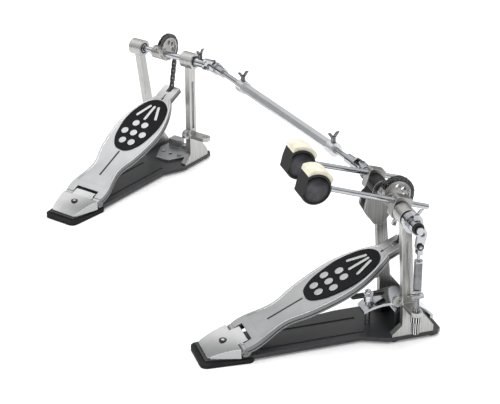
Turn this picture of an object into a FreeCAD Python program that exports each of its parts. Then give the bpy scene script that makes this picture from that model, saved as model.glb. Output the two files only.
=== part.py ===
import FreeCAD, Part
import math
import os

os.makedirs("parts", exist_ok=True)

# Double bass drum pedal: a main pedal with two beaters, a second pedal, and the
# telescoping drive shaft between them. Millimetres. +Z up, +Y towards the drum,
# +X to the player's right. The origin is on the floor under the main axle.

# Fits and cuts
overrun = 2.0
run_fit = 0.06
press_gap = 0.02
side_gap = 0.7

# Axle line and post housings
axle_height = 204.0
axle_r = 5.0
housing_span = 86.0
main_left_in = 28.0
housing_len = 24.0
housing_r = 13.5
bearing_r = 11.0
bearing_w = 6.0
bore_gap = 1.0
shaft_end_gap = 0.8

# Base plate
foot_height = 4.0
base_t = 6.0
base_rear_back = 56.0
base_rear_half = 25.0
base_waist_back = 5.0
base_half = 33.0
flare_start_y = -50.0
flare_end_y = -15.0
left_flare_start_y = -190.0
left_flare_end_y = -60.0
base_margin = 0.5
base_front_y = 66.0
base_corner = 6.0
groove_x = 20.0
groove_w = 5.0
groove_depth = 1.5
groove_rear_ahead = 25.0
groove_front_y = -40.0

# Rubber heel boot and feet
boot_rear_back = 63.0
boot_rear_half = 31.0
boot_front_ahead = 14.0
boot_front_half = 37.0
boot_corner_r = 10.0
boot_lip = 3.0
foot_r = 8.0
foot_inset = 12.0

# Posts
post_t = 10.0
post_foot_out = 48.5
post_foot_y = 14.0
post_depth = 17.0
flank_rear_y = -9.0
flank_front_y = 53.0
flank_height = 50.0
flank_lip = 10.0
flank_toe = 3.0
flank_rear_rise = 16.0
post_head_depth = 15.0
ear_r = 8.0
ear_hole_r = 3.2
ear_t = 7.0
ear_y = -1.0
ear_z = 66.0
recess_half = 3.0
recess_depth = 3.0
recess_low_gap = 14.0
recess_high_gap = 26.0

# Gusset under the main pedal's left housing
gusset_half = 25.4
gusset_drop = 54.5
gusset_y_shares = (-0.449, 0.059, 0.543, 0.528, -0.45, -0.862, -1.0)
gusset_z_shares = (-0.939, -1.0, -0.725, 0.0, 0.0, -0.161, -0.503)
gusset_wall = 4.0
pocket_floor = 12.0
pocket_low_share = 0.84
pocket_high_share = 0.2

# Heel plate and hinge
toe_pin_y = 16.6074
hinge_z = 18.0
hinge_pin_r = 3.0
knuckle_r = 6.8
knuckle_half = 21.0
ear_out = 36.0
heel_rear_back = 52.0
heel_rear_half = 25.0
heel_rear_rise = 2.0
heel_front_top = 24.5
heel_crown_back = 30.0
heel_crown_top = 20.5
tongue_half = 19.8
tongue_reach = 7.0
tongue_top = 28.5
tongue_t = 3.0
heel_screw_back = 23.0
heel_screw_r = 2.5
heel_screw_head_r = 5.5
heel_screw_head_t = 2.4
heel_screw_sink = 1.0

# Footboard, in its own flat frame: u along the board from the hinge, h up from it
board_angle = 25.0
board_top = 7.0
board_depth = 10.0
board_rear_u = 3.0
board_len = 268.0
board_half = 44.5
board_rim = 3.5
board_recess = 0.8
board_t = 3.6
board_wall = 3.0
notch_u = 16.0
notch_half = 22.3
toe_len = 30.0
toe_half = 16.0
fork_half = 4.8
fork_depth = 15.0
toe_pin_back = 6.0
toe_pin_h = 2.0
crease_w = 2.0
crease_depth = 2.0
board_u_shares = (0.0, 0.095, 0.180, 0.256, 0.345, 0.443, 0.615, 0.752, 0.888)
board_half_shares = (0.81, 0.809, 0.665, 0.625, 0.79, 0.922, 1.0, 0.809, 0.370)
crease_rear_shares = (0.183, 0.397)
crease_front_shares = (0.873, 0.927)

# Grip pad and the raised grip studs
pad_rear_share = 0.41045
pad_len_share = 0.45149
pad_half = 36.0
pad_t = 1.6
pad_gap = 0.2
stud_r = 6.4
stud_rise = 2.4
bar_half = 2.5
pad_u_shares = (0.0, 0.031, 0.116, 0.198, 0.331, 0.504, 0.628, 0.76, 0.868, 0.95, 1.0)
pad_half_shares = (0.0, 0.40, 0.655, 0.80, 0.917, 1.0, 0.972, 0.869, 0.714, 0.472, 0.0)
stud_u_shares = (0.16, 0.16, 0.328, 0.328, 0.328, 0.50, 0.50)
stud_v_shares = (0.2625, -0.2625, 0.0, 0.525, -0.525, 0.2625, -0.2625)
bar_start_shares = ((0.612, 0.0), (0.653, 0.547), (0.653, -0.547))
bar_end_shares = ((0.855, 0.0), (0.853, 0.247), (0.853, -0.247))

# Cam and roller chain
cam_y = 9.5
cam_z = 5.9
chain_r = 23.0
chain_pitch = 6.35
wrap_links = 10
roller_r = 1.65
inner_half = 1.6
plate_t = 0.8
plate_half = 2.8
plate_gap = 0.06
seat_gap = 0.15
cam_half = 4.5
cam_hub_len = 15.0
cam_hub_r = 11.0
cam_hole_r = 3.6
cam_hole_pcr = 11.0
cam_hole_turn = 52.0
cam_recess = 2.0
cam_rim = 2.6
cam_boss_r = 8.5
set_screw_r = 2.5
set_screw_stand = 2.0
set_screw_turn = 135.0

# Beaters
hub_len = 14.0
hub_back = 13.0
hub_front = 13.0
hub_below = 13.0
hub_wall = 5.0
hub_corner_r = 5.0
hub_gap = 2.0
rod_r = 4.0
rod_offset = 10.0
rod_stub = 41.0
right_reach = 137.4
left_reach = 123.4
right_beater_angle = -18.9
left_beater_angle = -17.5
key_screw_r = 3.0
key_screw_stand = 6.0
key_head_half = 2.6
key_head_len = 6.0
head_r = 22.0
head_half = 15.0
head_flat = 16.0
head_dome_r = 19.5
head_dome_rise = 5.0
head_tip = 10.0
felt_t = 6.0
felt_gap = 0.2
felt_low = 12.0
felt_front = 20.0

# Return spring side
rocker_gap = 2.5
rocker_t = 9.0
rocker_arm_t = 6.0
rocker_ring_r = 12.0
spring_y = 14.0
eye_drop = 40.0
eye_r = 6.0
eye_pin_r = 2.4
rocker_boss_y = 17.0
rocker_boss_drop = 22.0
rocker_boss_r = 7.0
rocker_hub_r = 9.5
rocker_hub_len = 20.0
rocker_flange_r = 14.0
rocker_flange_t = 4.0
rocker_flange_gap = 2.0
rocker_screw_share = 0.65
axle_stand = 8.0
hook_stem_r = 3.0
hook_stem_len = 14.0
barrel_r = 4.0
barrel_half = 9.0
barrel_drop = 8.0
clevis_t = 1.6
clevis_gap = 0.5
clevis_half = 3.6
clevis_reach = 8.0
clevis_bridge = 4.0
spring_cap_r = 6.0
spring_cap_t = 3.0
spring_below_eye = 25.0
spring_len = 42.0
spring_r = 5.2
wire_r = 0.8
spring_turns = 18
spring_seat = 0.3
spring_rod_r = 3.2
spring_rod_clear = 16.0
lug_below = 40.0
lug_t = 6.0
lug_r = 9.0
tension_nut_r = 8.0
tension_nut_len = 10.0
lock_nut_r = 6.5
lock_nut_len = 18.0
top_nut_r = 5.8
top_nut_len = 5.0
nut_gap = 0.5

# Hoop clamp and front plate
bolt_y = -28.0
bolt_r = 4.0
bolt_bar_z = 57.0
bolt_bar_r = 4.0
bolt_bar_len = 44.0
bolt_ball_r = 5.0
bolt_collar_r = 7.0
bolt_collar_t = 5.0
jaw_half = 24.0
jaw_rear_half = 13.0
jaw_front_half = 35.0
jaw_rear_y = -38.0
jaw_front_y = 58.0
jaw_rear_z = 33.0
jaw_front_z = 24.0
jaw_crown_z = 46.0
jaw_t = 4.0
jaw_lip = 2.0
jaw_pivot_y = 10.0
jaw_pivot_z = 34.0
jaw_knuckle_r = 5.5
jaw_pin_r = 3.0
cheek_t = 5.0
cheek_r = 7.0
cheek_gap = 0.6
hoop_pad_half = 30.0
hoop_pad_rear_y = 22.0
hoop_pad_front_y = 60.0
hoop_pad_t = 2.0
front_plate_rear_y = -14.0
front_plate_len = 74.0
front_plate_half = 33.0
front_plate_t = 4.0
front_plate_hole_r = 3.5
front_plate_y_shares = (0.0, 0.5, 0.8, 1.0)
front_plate_half_shares = (0.40, 1.0, 1.0, 0.72)
front_hole_share = 0.31
large_block_x_shares = (-0.75, -0.1)
small_block_x_shares = (0.15, 0.6)
block_y_shares = (0.68, 0.9)
large_block_rise = 14.0
small_block_rise = 8.0

# Drive shaft and universal joints
second_x = -643.5
second_y = -148.7
second_turn = 36.29
main_joint_out = 52.0
yoke_reach = 12.5
yoke_ear_in = 6.0
yoke_ear_out = 9.5
yoke_ear_half = 5.2
yoke_flange_r = 10.0
yoke_flange_t = 4.5
yoke_neck_r = 7.6
neck_len = 21.0
left_neck_len = 6.0
cross_r = 4.6
cross_arm_r = 2.2
joint_play = 0.9
shaft_rod_r = 4.5
shaft_fit = 0.1
tube_r = 8.2
tube_start = 72.0
tube_end_back = 96.0
tube_collar_r = 10.5
tube_collar_len = 16.0
main_rod_inside = 60.0
second_rod_inside = 80.0
wing_stud_r = 2.5
wing_tip_gap = 0.4
wing_rise = 6.0
wing_half = 10.0
wing_t = 2.6
wing_height = 9.0

# Derived levels
base_top = foot_height + base_t
housing_in = housing_span / 2
housing_out = housing_in + housing_len
axle_z = axle_height
board_tilt = math.radians(board_angle)
toe_start_u = board_len - toe_len
fork_u = board_len - fork_depth
toe_pin_u = board_len - toe_pin_back
pad_rear_u = pad_rear_share * board_len
pad_len = pad_len_share * board_len
hinge_y = toe_pin_y - toe_pin_u * math.cos(board_tilt) + toe_pin_h * math.sin(board_tilt)
base_rear_y = hinge_y - base_rear_back
base_waist_y = hinge_y - base_waist_back
groove_rear_y = hinge_y + groove_rear_ahead
boot_rear_y = hinge_y - boot_rear_back
boot_front_y = hinge_y + boot_front_ahead
heel_rear_y = hinge_y - heel_rear_back
heel_crown_y = hinge_y - heel_crown_back
heel_screw_y = hinge_y - heel_screw_back
right_hub_x = housing_in - hub_gap - hub_len / 2
left_hub_x = -main_left_in - housing_len - hub_gap - hub_len / 2
main_joint_x = -main_left_in - housing_len - main_joint_out
second_joint_x = housing_out + neck_len + yoke_flange_t + yoke_reach
eye_z = axle_z - eye_drop
rocker_boss_z = axle_z - rocker_boss_drop
base_front_half = post_foot_out + base_margin
spring_top_z = axle_z - eye_drop - spring_below_eye
spring_low_z = spring_top_z - spring_len
spring_rod_low_z = base_top + spring_rod_clear
lug_z = spring_low_z - lug_below
rocker_x = housing_out + rocker_gap
spring_x = rocker_x + rocker_t / 2
shoulder_y = hinge_y - knuckle_r - side_gap
origin = FreeCAD.Vector(0, 0, 0)
axis_x = FreeCAD.Vector(1, 0, 0)
axis_y = FreeCAD.Vector(0, 1, 0)
axis_z = FreeCAD.Vector(0, 0, 1)


def vec(x, y, z):
    return FreeCAD.Vector(x, y, z)


def cylinder(start, direction, radius, length):
    return Part.makeCylinder(radius, length, start, direction)


def bar_x(y, z, radius, x0, x1):
    return cylinder(vec(x0, y, z), axis_x, radius, x1 - x0)


def bar_z(x, y, radius, z0, z1):
    return cylinder(vec(x, y, z0), axis_z, radius, z1 - z0)


def slab(x0, x1, y0, y1, z0, z1):
    return Part.makeBox(x1 - x0, y1 - y0, z1 - z0, vec(x0, y0, z0))


def extrude(points, direction):
    wire = Part.makePolygon(points + [points[0]])
    return Part.Face(wire).extrude(direction)


def profile_x(yz_points, x0, x1):
    return extrude([vec(x0, y, z) for y, z in yz_points], vec(x1 - x0, 0, 0))


def outline_z(xy_points, z0, z1):
    return extrude([vec(x, y, z0) for x, y in xy_points], vec(0, 0, z1 - z0))


def both_sides(half_points):
    return half_points + [(-x, y) for x, y in reversed(half_points)]


def strap(y0, z0, r0, y1, z1, r1, x0, x1):
    # Flat link whose outline wraps two circles
    span = math.hypot(y1 - y0, z1 - z0)
    turn = math.atan2(z1 - z0, y1 - y0)
    lean = math.acos((r0 - r1) / span)
    points = []
    for y, z, r, side in ((y0, z0, r0, 1), (y1, z1, r1, 1), (y1, z1, r1, -1), (y0, z0, r0, -1)):
        angle = turn + side * lean
        points.append((y + r * math.cos(angle), z + r * math.sin(angle)))
    body = profile_x(points, x0, x1)
    return body.fuse([bar_x(y0, z0, r0, x0, x1), bar_x(y1, z1, r1, x0, x1)]).removeSplitter()


def fused(first, *others):
    return first.fuse(list(others)).removeSplitter()


def group(solids):
    return Part.makeCompound(solids)


def mirrored(shape):
    return shape.mirror(origin, axis_x)


def turned_x(shape, degrees, y, z):
    result = shape.copy()
    result.rotate(vec(0, y, z), axis_x, degrees)
    return result


def moved(shape, x, y, z):
    result = shape.copy()
    result.translate(vec(x, y, z))
    return result


second_pose = FreeCAD.Placement(vec(second_x, second_y, 0), FreeCAD.Rotation(axis_z, second_turn))


def to_second(shape):
    result = shape.copy()
    result.Placement = second_pose.multiply(shape.Placement)
    return result


def save(name, shape):
    shape.exportStep("parts/" + name + ".step")


def save_pair(name, shape):
    save("main_" + name, shape)
    save("second_" + name, to_second(shape))


# Base plate with two long grooves
base_outline = [
    (base_rear_half, base_rear_y),
    (base_half, base_waist_y),
    (base_half, flare_start_y),
    (base_front_half, flare_end_y),
    (base_front_half, base_front_y - base_corner),
    (base_front_half - base_corner, base_front_y),
    (base_corner - base_front_half, base_front_y),
    (-base_front_half, base_front_y - base_corner),
    (-base_front_half, left_flare_end_y),
    (-base_half, left_flare_start_y),
    (-base_half, base_waist_y),
    (-base_rear_half, base_rear_y),
]
base_plate = outline_z(base_outline, foot_height, base_top)
for side in (-1, 1):
    mid = side * groove_x
    groove = slab(mid - groove_w / 2, mid + groove_w / 2, groove_rear_y, groove_front_y,
                  base_top - groove_depth, base_top + overrun)
    base_plate = base_plate.cut(groove)
save_pair("base_plate", base_plate)

# Rubber boot round the heel, and feet under the front
boot_outline = both_sides([(boot_rear_half, boot_rear_y), (boot_front_half, boot_front_y)])
boot = outline_z(boot_outline, 0, foot_height + boot_lip)
uprights = [e for e in boot.Edges if abs(e.Vertexes[0].Z - e.Vertexes[1].Z) > foot_height]
boot = boot.makeFillet(boot_corner_r, uprights)
boot = boot.cut(outline_z(base_outline, foot_height, foot_height + boot_lip + overrun))
feet = [boot]
foot_x = base_front_half - foot_inset
for foot_y in (base_front_y - foot_inset, flare_end_y + foot_inset):
    for side in (-1, 1):
        feet.append(bar_z(side * foot_x, foot_y, foot_r, 0, foot_height))
feet.append(bar_z(0, flare_end_y + foot_inset, foot_r, 0, foot_height))
save_pair("rubber_feet", group(feet))


# Posts
def make_post(head_start, with_lug, with_gusset):
    head_end = head_start + housing_len
    foot_in = post_foot_out - post_t
    flank_top = base_top + flank_height
    rear_y = post_foot_y - post_depth / 2
    front_y = post_foot_y + post_depth / 2
    flank = profile_x([
        (flank_rear_y, base_top),
        (flank_front_y, base_top),
        (flank_front_y, base_top + flank_lip),
        (front_y, flank_top),
        (rear_y, flank_top),
        (rear_y, base_top + flank_rear_rise),
        (flank_rear_y, base_top + flank_toe),
    ], foot_in, post_foot_out)
    low_z = flank_top - post_t
    foot_wire = Part.makePolygon([
        vec(foot_in, rear_y, low_z),
        vec(post_foot_out, rear_y, low_z),
        vec(post_foot_out, front_y, low_z),
        vec(foot_in, front_y, low_z),
        vec(foot_in, rear_y, low_z),
    ])
    head_mid = (head_start + head_end) / 2
    head_in = head_mid - post_t / 2
    head_out = head_mid + post_t / 2
    head_half = post_head_depth / 2
    head_wire = Part.makePolygon([
        vec(head_in, -head_half, axle_z),
        vec(head_out, -head_half, axle_z),
        vec(head_out, head_half, axle_z),
        vec(head_in, head_half, axle_z),
        vec(head_in, -head_half, axle_z),
    ])
    column = Part.makeLoft([foot_wire, head_wire], True)
    housing = bar_x(0, axle_z, housing_r, head_start, head_end)
    rings = []
    for level in (flank_top + recess_low_gap, axle_z - housing_r - recess_high_gap):
        share = (level - low_z) / (axle_z - low_z)
        face_x = post_foot_out + share * (head_out - post_foot_out)
        mid_y = post_foot_y * (1 - share)
        rings.append(Part.makePolygon([
            vec(face_x - recess_depth, mid_y - recess_half, level),
            vec(face_x + overrun, mid_y - recess_half, level),
            vec(face_x + overrun, mid_y + recess_half, level),
            vec(face_x - recess_depth, mid_y + recess_half, level),
            vec(face_x - recess_depth, mid_y - recess_half, level),
        ]))
    post = fused(flank, column.cut(Part.makeLoft(rings, True)), housing)
    if with_gusset:
        outline = [(y * gusset_half, axle_z + z * gusset_drop) for y, z in zip(gusset_y_shares, gusset_z_shares)]
        gusset = profile_x(outline, head_start, head_end)
        gusset = gusset.cut(slab(
            head_start + gusset_wall, head_end - gusset_wall, -gusset_half - overrun, -pocket_floor,
            axle_z - pocket_low_share * gusset_drop, axle_z - pocket_high_share * gusset_drop))
        post = fused(post, gusset)
    share = (ear_z - low_z) / (axle_z - low_z)
    ear_in_x = foot_in + share * (head_in - foot_in) + (post_t - ear_t) / 2
    post = fused(post, bar_x(ear_y, ear_z, ear_r, ear_in_x, ear_in_x + ear_t))
    post = post.cut(bar_x(ear_y, ear_z, ear_hole_r, ear_in_x - post_t, ear_in_x + ear_t + post_t))
    post = post.cut(bar_x(0, axle_z, axle_r + bore_gap, head_start - overrun, head_end + overrun))
    post = post.cut(bar_x(0, axle_z, bearing_r, head_start - overrun, head_start + bearing_w))
    post = post.cut(bar_x(0, axle_z, bearing_r, head_end - bearing_w, head_end + overrun)).removeSplitter()
    if not with_lug:
        return post
    arm = slab(post_foot_out - post_t / 2, spring_x, spring_y - lug_r, spring_y + lug_r, lug_z, lug_z + lug_t)
    lug = fused(arm, bar_z(spring_x, spring_y, lug_r, lug_z, lug_z + lug_t)).cut(post)
    lug = lug.cut(bar_z(spring_x, spring_y, spring_rod_r + bore_gap, lug_z - overrun, lug_z + lug_t + overrun))
    return group([post, lug.removeSplitter()])


save_pair("right_post", make_post(housing_in, True, False))
save("main_left_post", mirrored(make_post(main_left_in, False, True)))
save("second_left_post", to_second(mirrored(make_post(housing_in, False, False))))

# Ball bearings at both faces of each housing
def make_bearings(left_in):
    rings = []
    left_out = left_in + housing_len
    for face_x in (-left_out, -left_in - bearing_w, housing_in, housing_out - bearing_w):
        ring = bar_x(0, axle_z, bearing_r - press_gap, face_x, face_x + bearing_w)
        rings.append(ring.cut(bar_x(0, axle_z, axle_r + run_fit, face_x - overrun, face_x + bearing_w + overrun)))
    return group(rings)


save("main_bearings", make_bearings(main_left_in))
save("second_bearings", to_second(make_bearings(housing_in)))

# Heel plate with its hinge knuckle and the tongue that fills the board's notch
rise = Part.Arc(
    vec(-ear_out, shoulder_y, heel_front_top),
    vec(-ear_out, heel_crown_y, heel_crown_top),
    vec(-ear_out, heel_rear_y, base_top + heel_rear_rise),
).toShape()
heel_corners = [
    vec(-ear_out, heel_rear_y, base_top + heel_rear_rise),
    vec(-ear_out, heel_rear_y, base_top),
    vec(-ear_out, shoulder_y, base_top),
    vec(-ear_out, shoulder_y, heel_front_top),
]
heel_wire = Part.Wire([rise] + Part.makePolygon(heel_corners).Edges)
heel = Part.Face(heel_wire).extrude(vec(ear_out + ear_out, 0, 0))
heel_plan = outline_z(both_sides([
    (heel_rear_half - boot_lip, heel_rear_y),
    (heel_rear_half, heel_rear_y + boot_lip),
    (ear_out, shoulder_y),
]), base_top, hinge_z + heel_front_top)
heel = heel.common(heel_plan)
tongue = profile_x([
    (shoulder_y - tongue_t, heel_front_top - tongue_t),
    (hinge_y + tongue_reach, tongue_top - tongue_t),
    (hinge_y + tongue_reach, tongue_top),
    (shoulder_y - tongue_t, heel_front_top - heel_rear_rise / 2),
], -tongue_half, tongue_half)
knuckle = bar_x(hinge_y, hinge_z, knuckle_r, -knuckle_half, knuckle_half)
neck = slab(-tongue_half, tongue_half, shoulder_y - tongue_t, hinge_y, base_top, heel_front_top - tongue_t / 2)
heel = fused(heel, neck, knuckle, tongue)
heel = heel.cut(bar_x(hinge_y, hinge_z, hinge_pin_r + press_gap, -ear_out, ear_out))
heel_screw_seat = heel_front_top - heel_screw_sink - heel_screw_head_t
heel = heel.cut(bar_z(0, heel_screw_y, heel_screw_head_r + press_gap, heel_screw_seat, heel_front_top + overrun))
heel = heel.cut(bar_z(0, heel_screw_y, heel_screw_r + press_gap, base_top - overrun, heel_front_top))
save_pair("heel_plate", heel.removeSplitter())
heel_screw = fused(
    bar_z(0, heel_screw_y, heel_screw_r, base_top, heel_screw_seat),
    bar_z(0, heel_screw_y, heel_screw_head_r, heel_screw_seat, heel_screw_seat + heel_screw_head_t),
)
save_pair("heel_screw", heel_screw)
save_pair("hinge_pin", bar_x(hinge_y, hinge_z, hinge_pin_r, -ear_out, ear_out))


# Footboard, drawn flat and then tilted about the heel hinge
def board_shape(points, inset, low, high):
    right = Part.BSplineCurve()
    right.interpolate([vec(v - inset, u, low) for u, v in points])
    left = Part.BSplineCurve()
    left.interpolate([vec(inset - v, u, low) for u, v in points])
    rear_u, rear_v = points[0]
    front_u, front_v = points[-1]
    front = Part.makeLine(vec(front_v - inset, front_u, low), vec(inset - front_v, front_u, low))
    rear = Part.makeLine(vec(inset - rear_v, rear_u, low), vec(rear_v - inset, rear_u, low))
    wire = Part.Wire([right.toShape(), front, left.toShape().reversed(), rear])
    return Part.Face(wire).extrude(vec(0, 0, high - low))


side_points = []
for u_share, v_share in zip(board_u_shares, board_half_shares):
    u = board_rear_u + u_share * (toe_start_u - board_rear_u) / board_u_shares[-1]
    side_points.append((u, v_share * board_half))
board_low = board_top - board_depth
board_floor = board_top - board_recess
board = board_shape(side_points, 0, board_low, board_top)
toe = slab(-toe_half, toe_half, toe_start_u - toe_half, board_len, board_low, board_top)
board = fused(board, toe)
board = board.cut(board_shape(side_points[1:-1], board_wall, board_low - overrun, board_floor - board_t))
board = board.cut(board_shape(side_points[1:], board_rim, board_floor, board_top + overrun))
board = board.cut(slab(-notch_half, notch_half, -board_depth, notch_u, board_low - overrun, board_top + overrun))
ear_len = ear_out - notch_half
for side in (-1, 1):
    start = notch_half if side > 0 else -ear_out
    board = fused(board, bar_x(0, 0, knuckle_r, start, start + ear_len))
board = board.cut(bar_x(0, 0, hinge_pin_r + run_fit, -ear_out - overrun, ear_out + overrun))
board = board.cut(slab(-fork_half, fork_half, fork_u, board_len + overrun, board_low - overrun, board_top + overrun))
for rear_share, front_share in (crease_rear_shares, crease_front_shares):
    board = board.cut(slab(-crease_w / 2, crease_w / 2, rear_share * board_len, front_share * board_len,
                           board_floor - crease_depth, board_top + overrun))


def pad_place(shares):
    return (shares[1] * pad_half, pad_rear_u + shares[0] * pad_len)


def raised_bar(start, end, radius, low, high):
    x0, u0 = pad_place(start)
    x1, u1 = pad_place(end)
    span = math.hypot(x1 - x0, u1 - u0)
    side_x = (u1 - u0) / span * radius
    side_u = (x0 - x1) / span * radius
    body = outline_z([
        (x0 + side_x, u0 + side_u),
        (x1 + side_x, u1 + side_u),
        (x1 - side_x, u1 - side_u),
        (x0 - side_x, u0 - side_u),
    ], low, high)
    return fused(body, bar_z(x0, u0, radius, low, high), bar_z(x1, u1, radius, low, high))


pad_side = [vec(v * pad_half, pad_rear_u + u * pad_len, board_floor) for u, v in zip(pad_u_shares, pad_half_shares)]
pad_back = [vec(-p.x, p.y, p.z) for p in reversed(pad_side[1:-1])]
pad_curve = Part.BSplineCurve()
pad_curve.interpolate(Points=pad_side + pad_back, PeriodicFlag=True)
pad = Part.Face(Part.Wire([pad_curve.toShape()])).extrude(vec(0, 0, pad_t))
studs = []
for shares in zip(stud_u_shares, stud_v_shares):
    stud_x, stud_u = pad_place(shares)
    studs.append(bar_z(stud_x, stud_u, stud_r, board_floor - crease_depth, board_floor + stud_rise))
    pad = pad.cut(bar_z(stud_x, stud_u, stud_r + pad_gap, board_floor - overrun, board_floor + pad_t + overrun))
for start, end in zip(bar_start_shares, bar_end_shares):
    studs.append(raised_bar(start, end, bar_half, board_floor - crease_depth, board_floor + stud_rise))
    pad = pad.cut(raised_bar(start, end, bar_half + pad_gap, board_floor - overrun, board_floor + pad_t + overrun))
board = fused(board, *studs)


def on_board(shape):
    result = shape.copy()
    result.rotate(origin, axis_x, board_angle)
    result.translate(vec(0, hinge_y, hinge_z))
    return result


save_pair("footboard", on_board(board))
save_pair("grip_pad", on_board(pad))

# Cam: a drum whose centre lies off the axle, with a ridge between the chain's plates
link_turn = 2 * math.degrees(math.asin(chain_pitch / 2 / chain_r))
cam_r = chain_r * math.cos(math.radians(link_turn / 2)) - plate_half - seat_gap
ridge_r = chain_r - roller_r - seat_gap
cam_mid_z = axle_z + cam_z
cam = fused(
    bar_x(cam_y, cam_mid_z, cam_r, -cam_half, cam_half),
    bar_x(cam_y, cam_mid_z, ridge_r, seat_gap - inner_half, inner_half - seat_gap),
    bar_x(0, axle_z, cam_hub_r, -cam_half - cam_hub_len, 0),
)
recess = bar_x(cam_y, cam_mid_z, cam_r - cam_rim, cam_half - cam_recess, cam_half + overrun)
cam = cam.cut(recess.cut(bar_x(0, axle_z, cam_boss_r, 0, cam_half + overrun)))
cam_way = math.atan2(cam_z, cam_y)
for step in (-1, 0, 1):
    angle = cam_way + step * math.radians(cam_hole_turn)
    hole_y = cam_y + cam_hole_pcr * math.cos(angle)
    hole_z = cam_mid_z + cam_hole_pcr * math.sin(angle)
    cam = cam.cut(bar_x(hole_y, hole_z, cam_hole_r, -cam_half - overrun, cam_half + overrun))
cam = cam.cut(bar_x(0, axle_z, axle_r + press_gap, -cam_half - cam_hub_len - overrun, cam_half + overrun))
screw_x = -cam_half - cam_hub_len / 2
screw_way = vec(0, math.cos(math.radians(set_screw_turn)), math.sin(math.radians(set_screw_turn)))
screw_foot = vec(screw_x, 0, axle_z)
screw_tip = axle_r + run_fit
screw_span = cam_hub_r - screw_tip
cam = cam.cut(cylinder(screw_foot + screw_way * axle_r, screw_way, set_screw_r + press_gap, cam_hub_r))
save_pair("cam", cam.removeSplitter())
cam_screw = cylinder(screw_foot + screw_way * screw_tip, screw_way, set_screw_r, screw_span + set_screw_stand)
save_pair("cam_screw", cam_screw)

# Roller chain: links over the cam, then a strand down to the fork at the toe
toe_y = toe_pin_y
toe_z = hinge_z + toe_pin_u * math.sin(board_tilt) + toe_pin_h * math.cos(board_tilt)
toe_way = math.atan2(toe_z - cam_mid_z, toe_y - cam_y)
toe_far = math.hypot(toe_z - cam_mid_z, toe_y - cam_y)
leave_angle = toe_way + math.acos(chain_r / toe_far)
leave_y = cam_y + chain_r * math.cos(leave_angle)
leave_z = cam_mid_z + chain_r * math.sin(leave_angle)
strand_links = round(math.hypot(toe_y - leave_y, toe_z - leave_z) / chain_pitch)


def chain_plate(a, b, x0, x1):
    # Eight-sided plate round two pins
    span = math.hypot(b[0] - a[0], b[1] - a[1])
    way_y = (b[0] - a[0]) / span
    way_z = (b[1] - a[1]) / span
    cut = plate_half * math.tan(math.pi / 8)
    corners = []
    for along, across in (
        (-plate_half, -cut), (-cut, -plate_half), (span + cut, -plate_half), (span + plate_half, -cut),
        (span + plate_half, cut), (span + cut, plate_half), (-cut, plate_half), (-plate_half, cut),
    ):
        corners.append((a[0] + along * way_y - across * way_z, a[1] + along * way_z + across * way_y))
    return profile_x(corners, x0, x1)


def chain_roller(p, half):
    corners = []
    for step in range(6):
        angle = step * math.pi / 3
        corners.append((p[0] + roller_r * math.cos(angle), p[1] + roller_r * math.sin(angle)))
    return profile_x(corners, -half, half)


def chain_run(pins, first_is_outer, first_roller):
    solids = []
    outer_start = inner_half + plate_t
    for number in range(len(pins) - 1):
        outer = (number % 2 == 0) == first_is_outer
        low = outer_start + (plate_gap if outer and first_is_outer and number == 0 else 0) if outer else inner_half
        solids.append(chain_plate(pins[number], pins[number + 1], low, low + plate_t))
        solids.append(chain_plate(pins[number], pins[number + 1], -low - plate_t, -low))
    for number in range(first_roller, len(pins) - 1):
        round_pin = bar_x(pins[number][0], pins[number][1], roller_r, -inner_half, inner_half)
        solids.append(chain_roller(pins[number], inner_half) if number else round_pin)
    last_outer = ((len(pins) - 2) % 2 == 0) == first_is_outer
    solids.append(chain_roller(pins[-1], outer_start if last_outer else inner_half))
    return group(solids)


wrap_pins = []
for number in range(wrap_links + 1):
    angle = leave_angle + math.radians(link_turn) * number
    wrap_pins.append((cam_y + chain_r * math.cos(angle), cam_mid_z + chain_r * math.sin(angle)))
strand_pins = []
for number in range(strand_links + 1):
    share = number / strand_links
    strand_pins.append((leave_y + share * (toe_y - leave_y), leave_z + share * (toe_z - leave_z)))
save_pair("chain_wrap", chain_run(wrap_pins, False, 0))
save_pair("chain_strand", chain_run(strand_pins, True, 1))

# Axles. The main axle ends inside the left housing, where the left shaft begins
main_axle_end = rocker_x + rocker_t + rocker_hub_len + axle_stand
split_x = -main_left_in - housing_len / 2
save("main_axle", bar_x(0, axle_z, axle_r, split_x + shaft_end_gap / 2, main_axle_end))
second_axle = bar_x(0, axle_z, axle_r, -housing_out - axle_stand / 2, second_joint_x - yoke_reach - yoke_flange_t)
save("second_axle", to_second(second_axle))


# Beaters, drawn with the rod level and pointing back, then tilted about the axle
def tilted(shape, degrees):
    return turned_x(shape, degrees, 0, axle_z)


def beater_hub(x, degrees):
    low = axle_z - hub_below
    high = axle_z + rod_offset + rod_r + hub_wall
    block = slab(x - hub_len / 2, x + hub_len / 2, -hub_back, hub_front, low, high)
    sides = [e for e in block.Edges if abs(e.Vertexes[0].X - e.Vertexes[1].X) > hub_len / 2]
    block = block.makeFillet(hub_corner_r, sides)
    block = block.cut(bar_x(0, axle_z, axle_r + press_gap, x - hub_len, x + hub_len))
    rod_start = vec(x, -hub_back - overrun, axle_z + rod_offset)
    block = block.cut(cylinder(rod_start, axis_y, rod_r + run_fit, hub_back + hub_front + overrun + overrun))
    block = block.cut(bar_z(x, 0, key_screw_r + press_gap, low - overrun, axle_z))
    return tilted(block, degrees)


def key_screw(x, degrees):
    low = axle_z - hub_below - key_screw_stand
    stem = bar_z(x, 0, key_screw_r, low, axle_z - axle_r - run_fit)
    head = slab(x - key_head_half, x + key_head_half, -key_head_half, key_head_half, low - key_head_len, low)
    return tilted(fused(stem, head), degrees)


def beater_rod(x, reach, degrees):
    start = vec(x, rod_stub, axle_z + rod_offset)
    return tilted(cylinder(start, -axis_y, rod_r, rod_stub + reach + head_tip), degrees)


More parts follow.
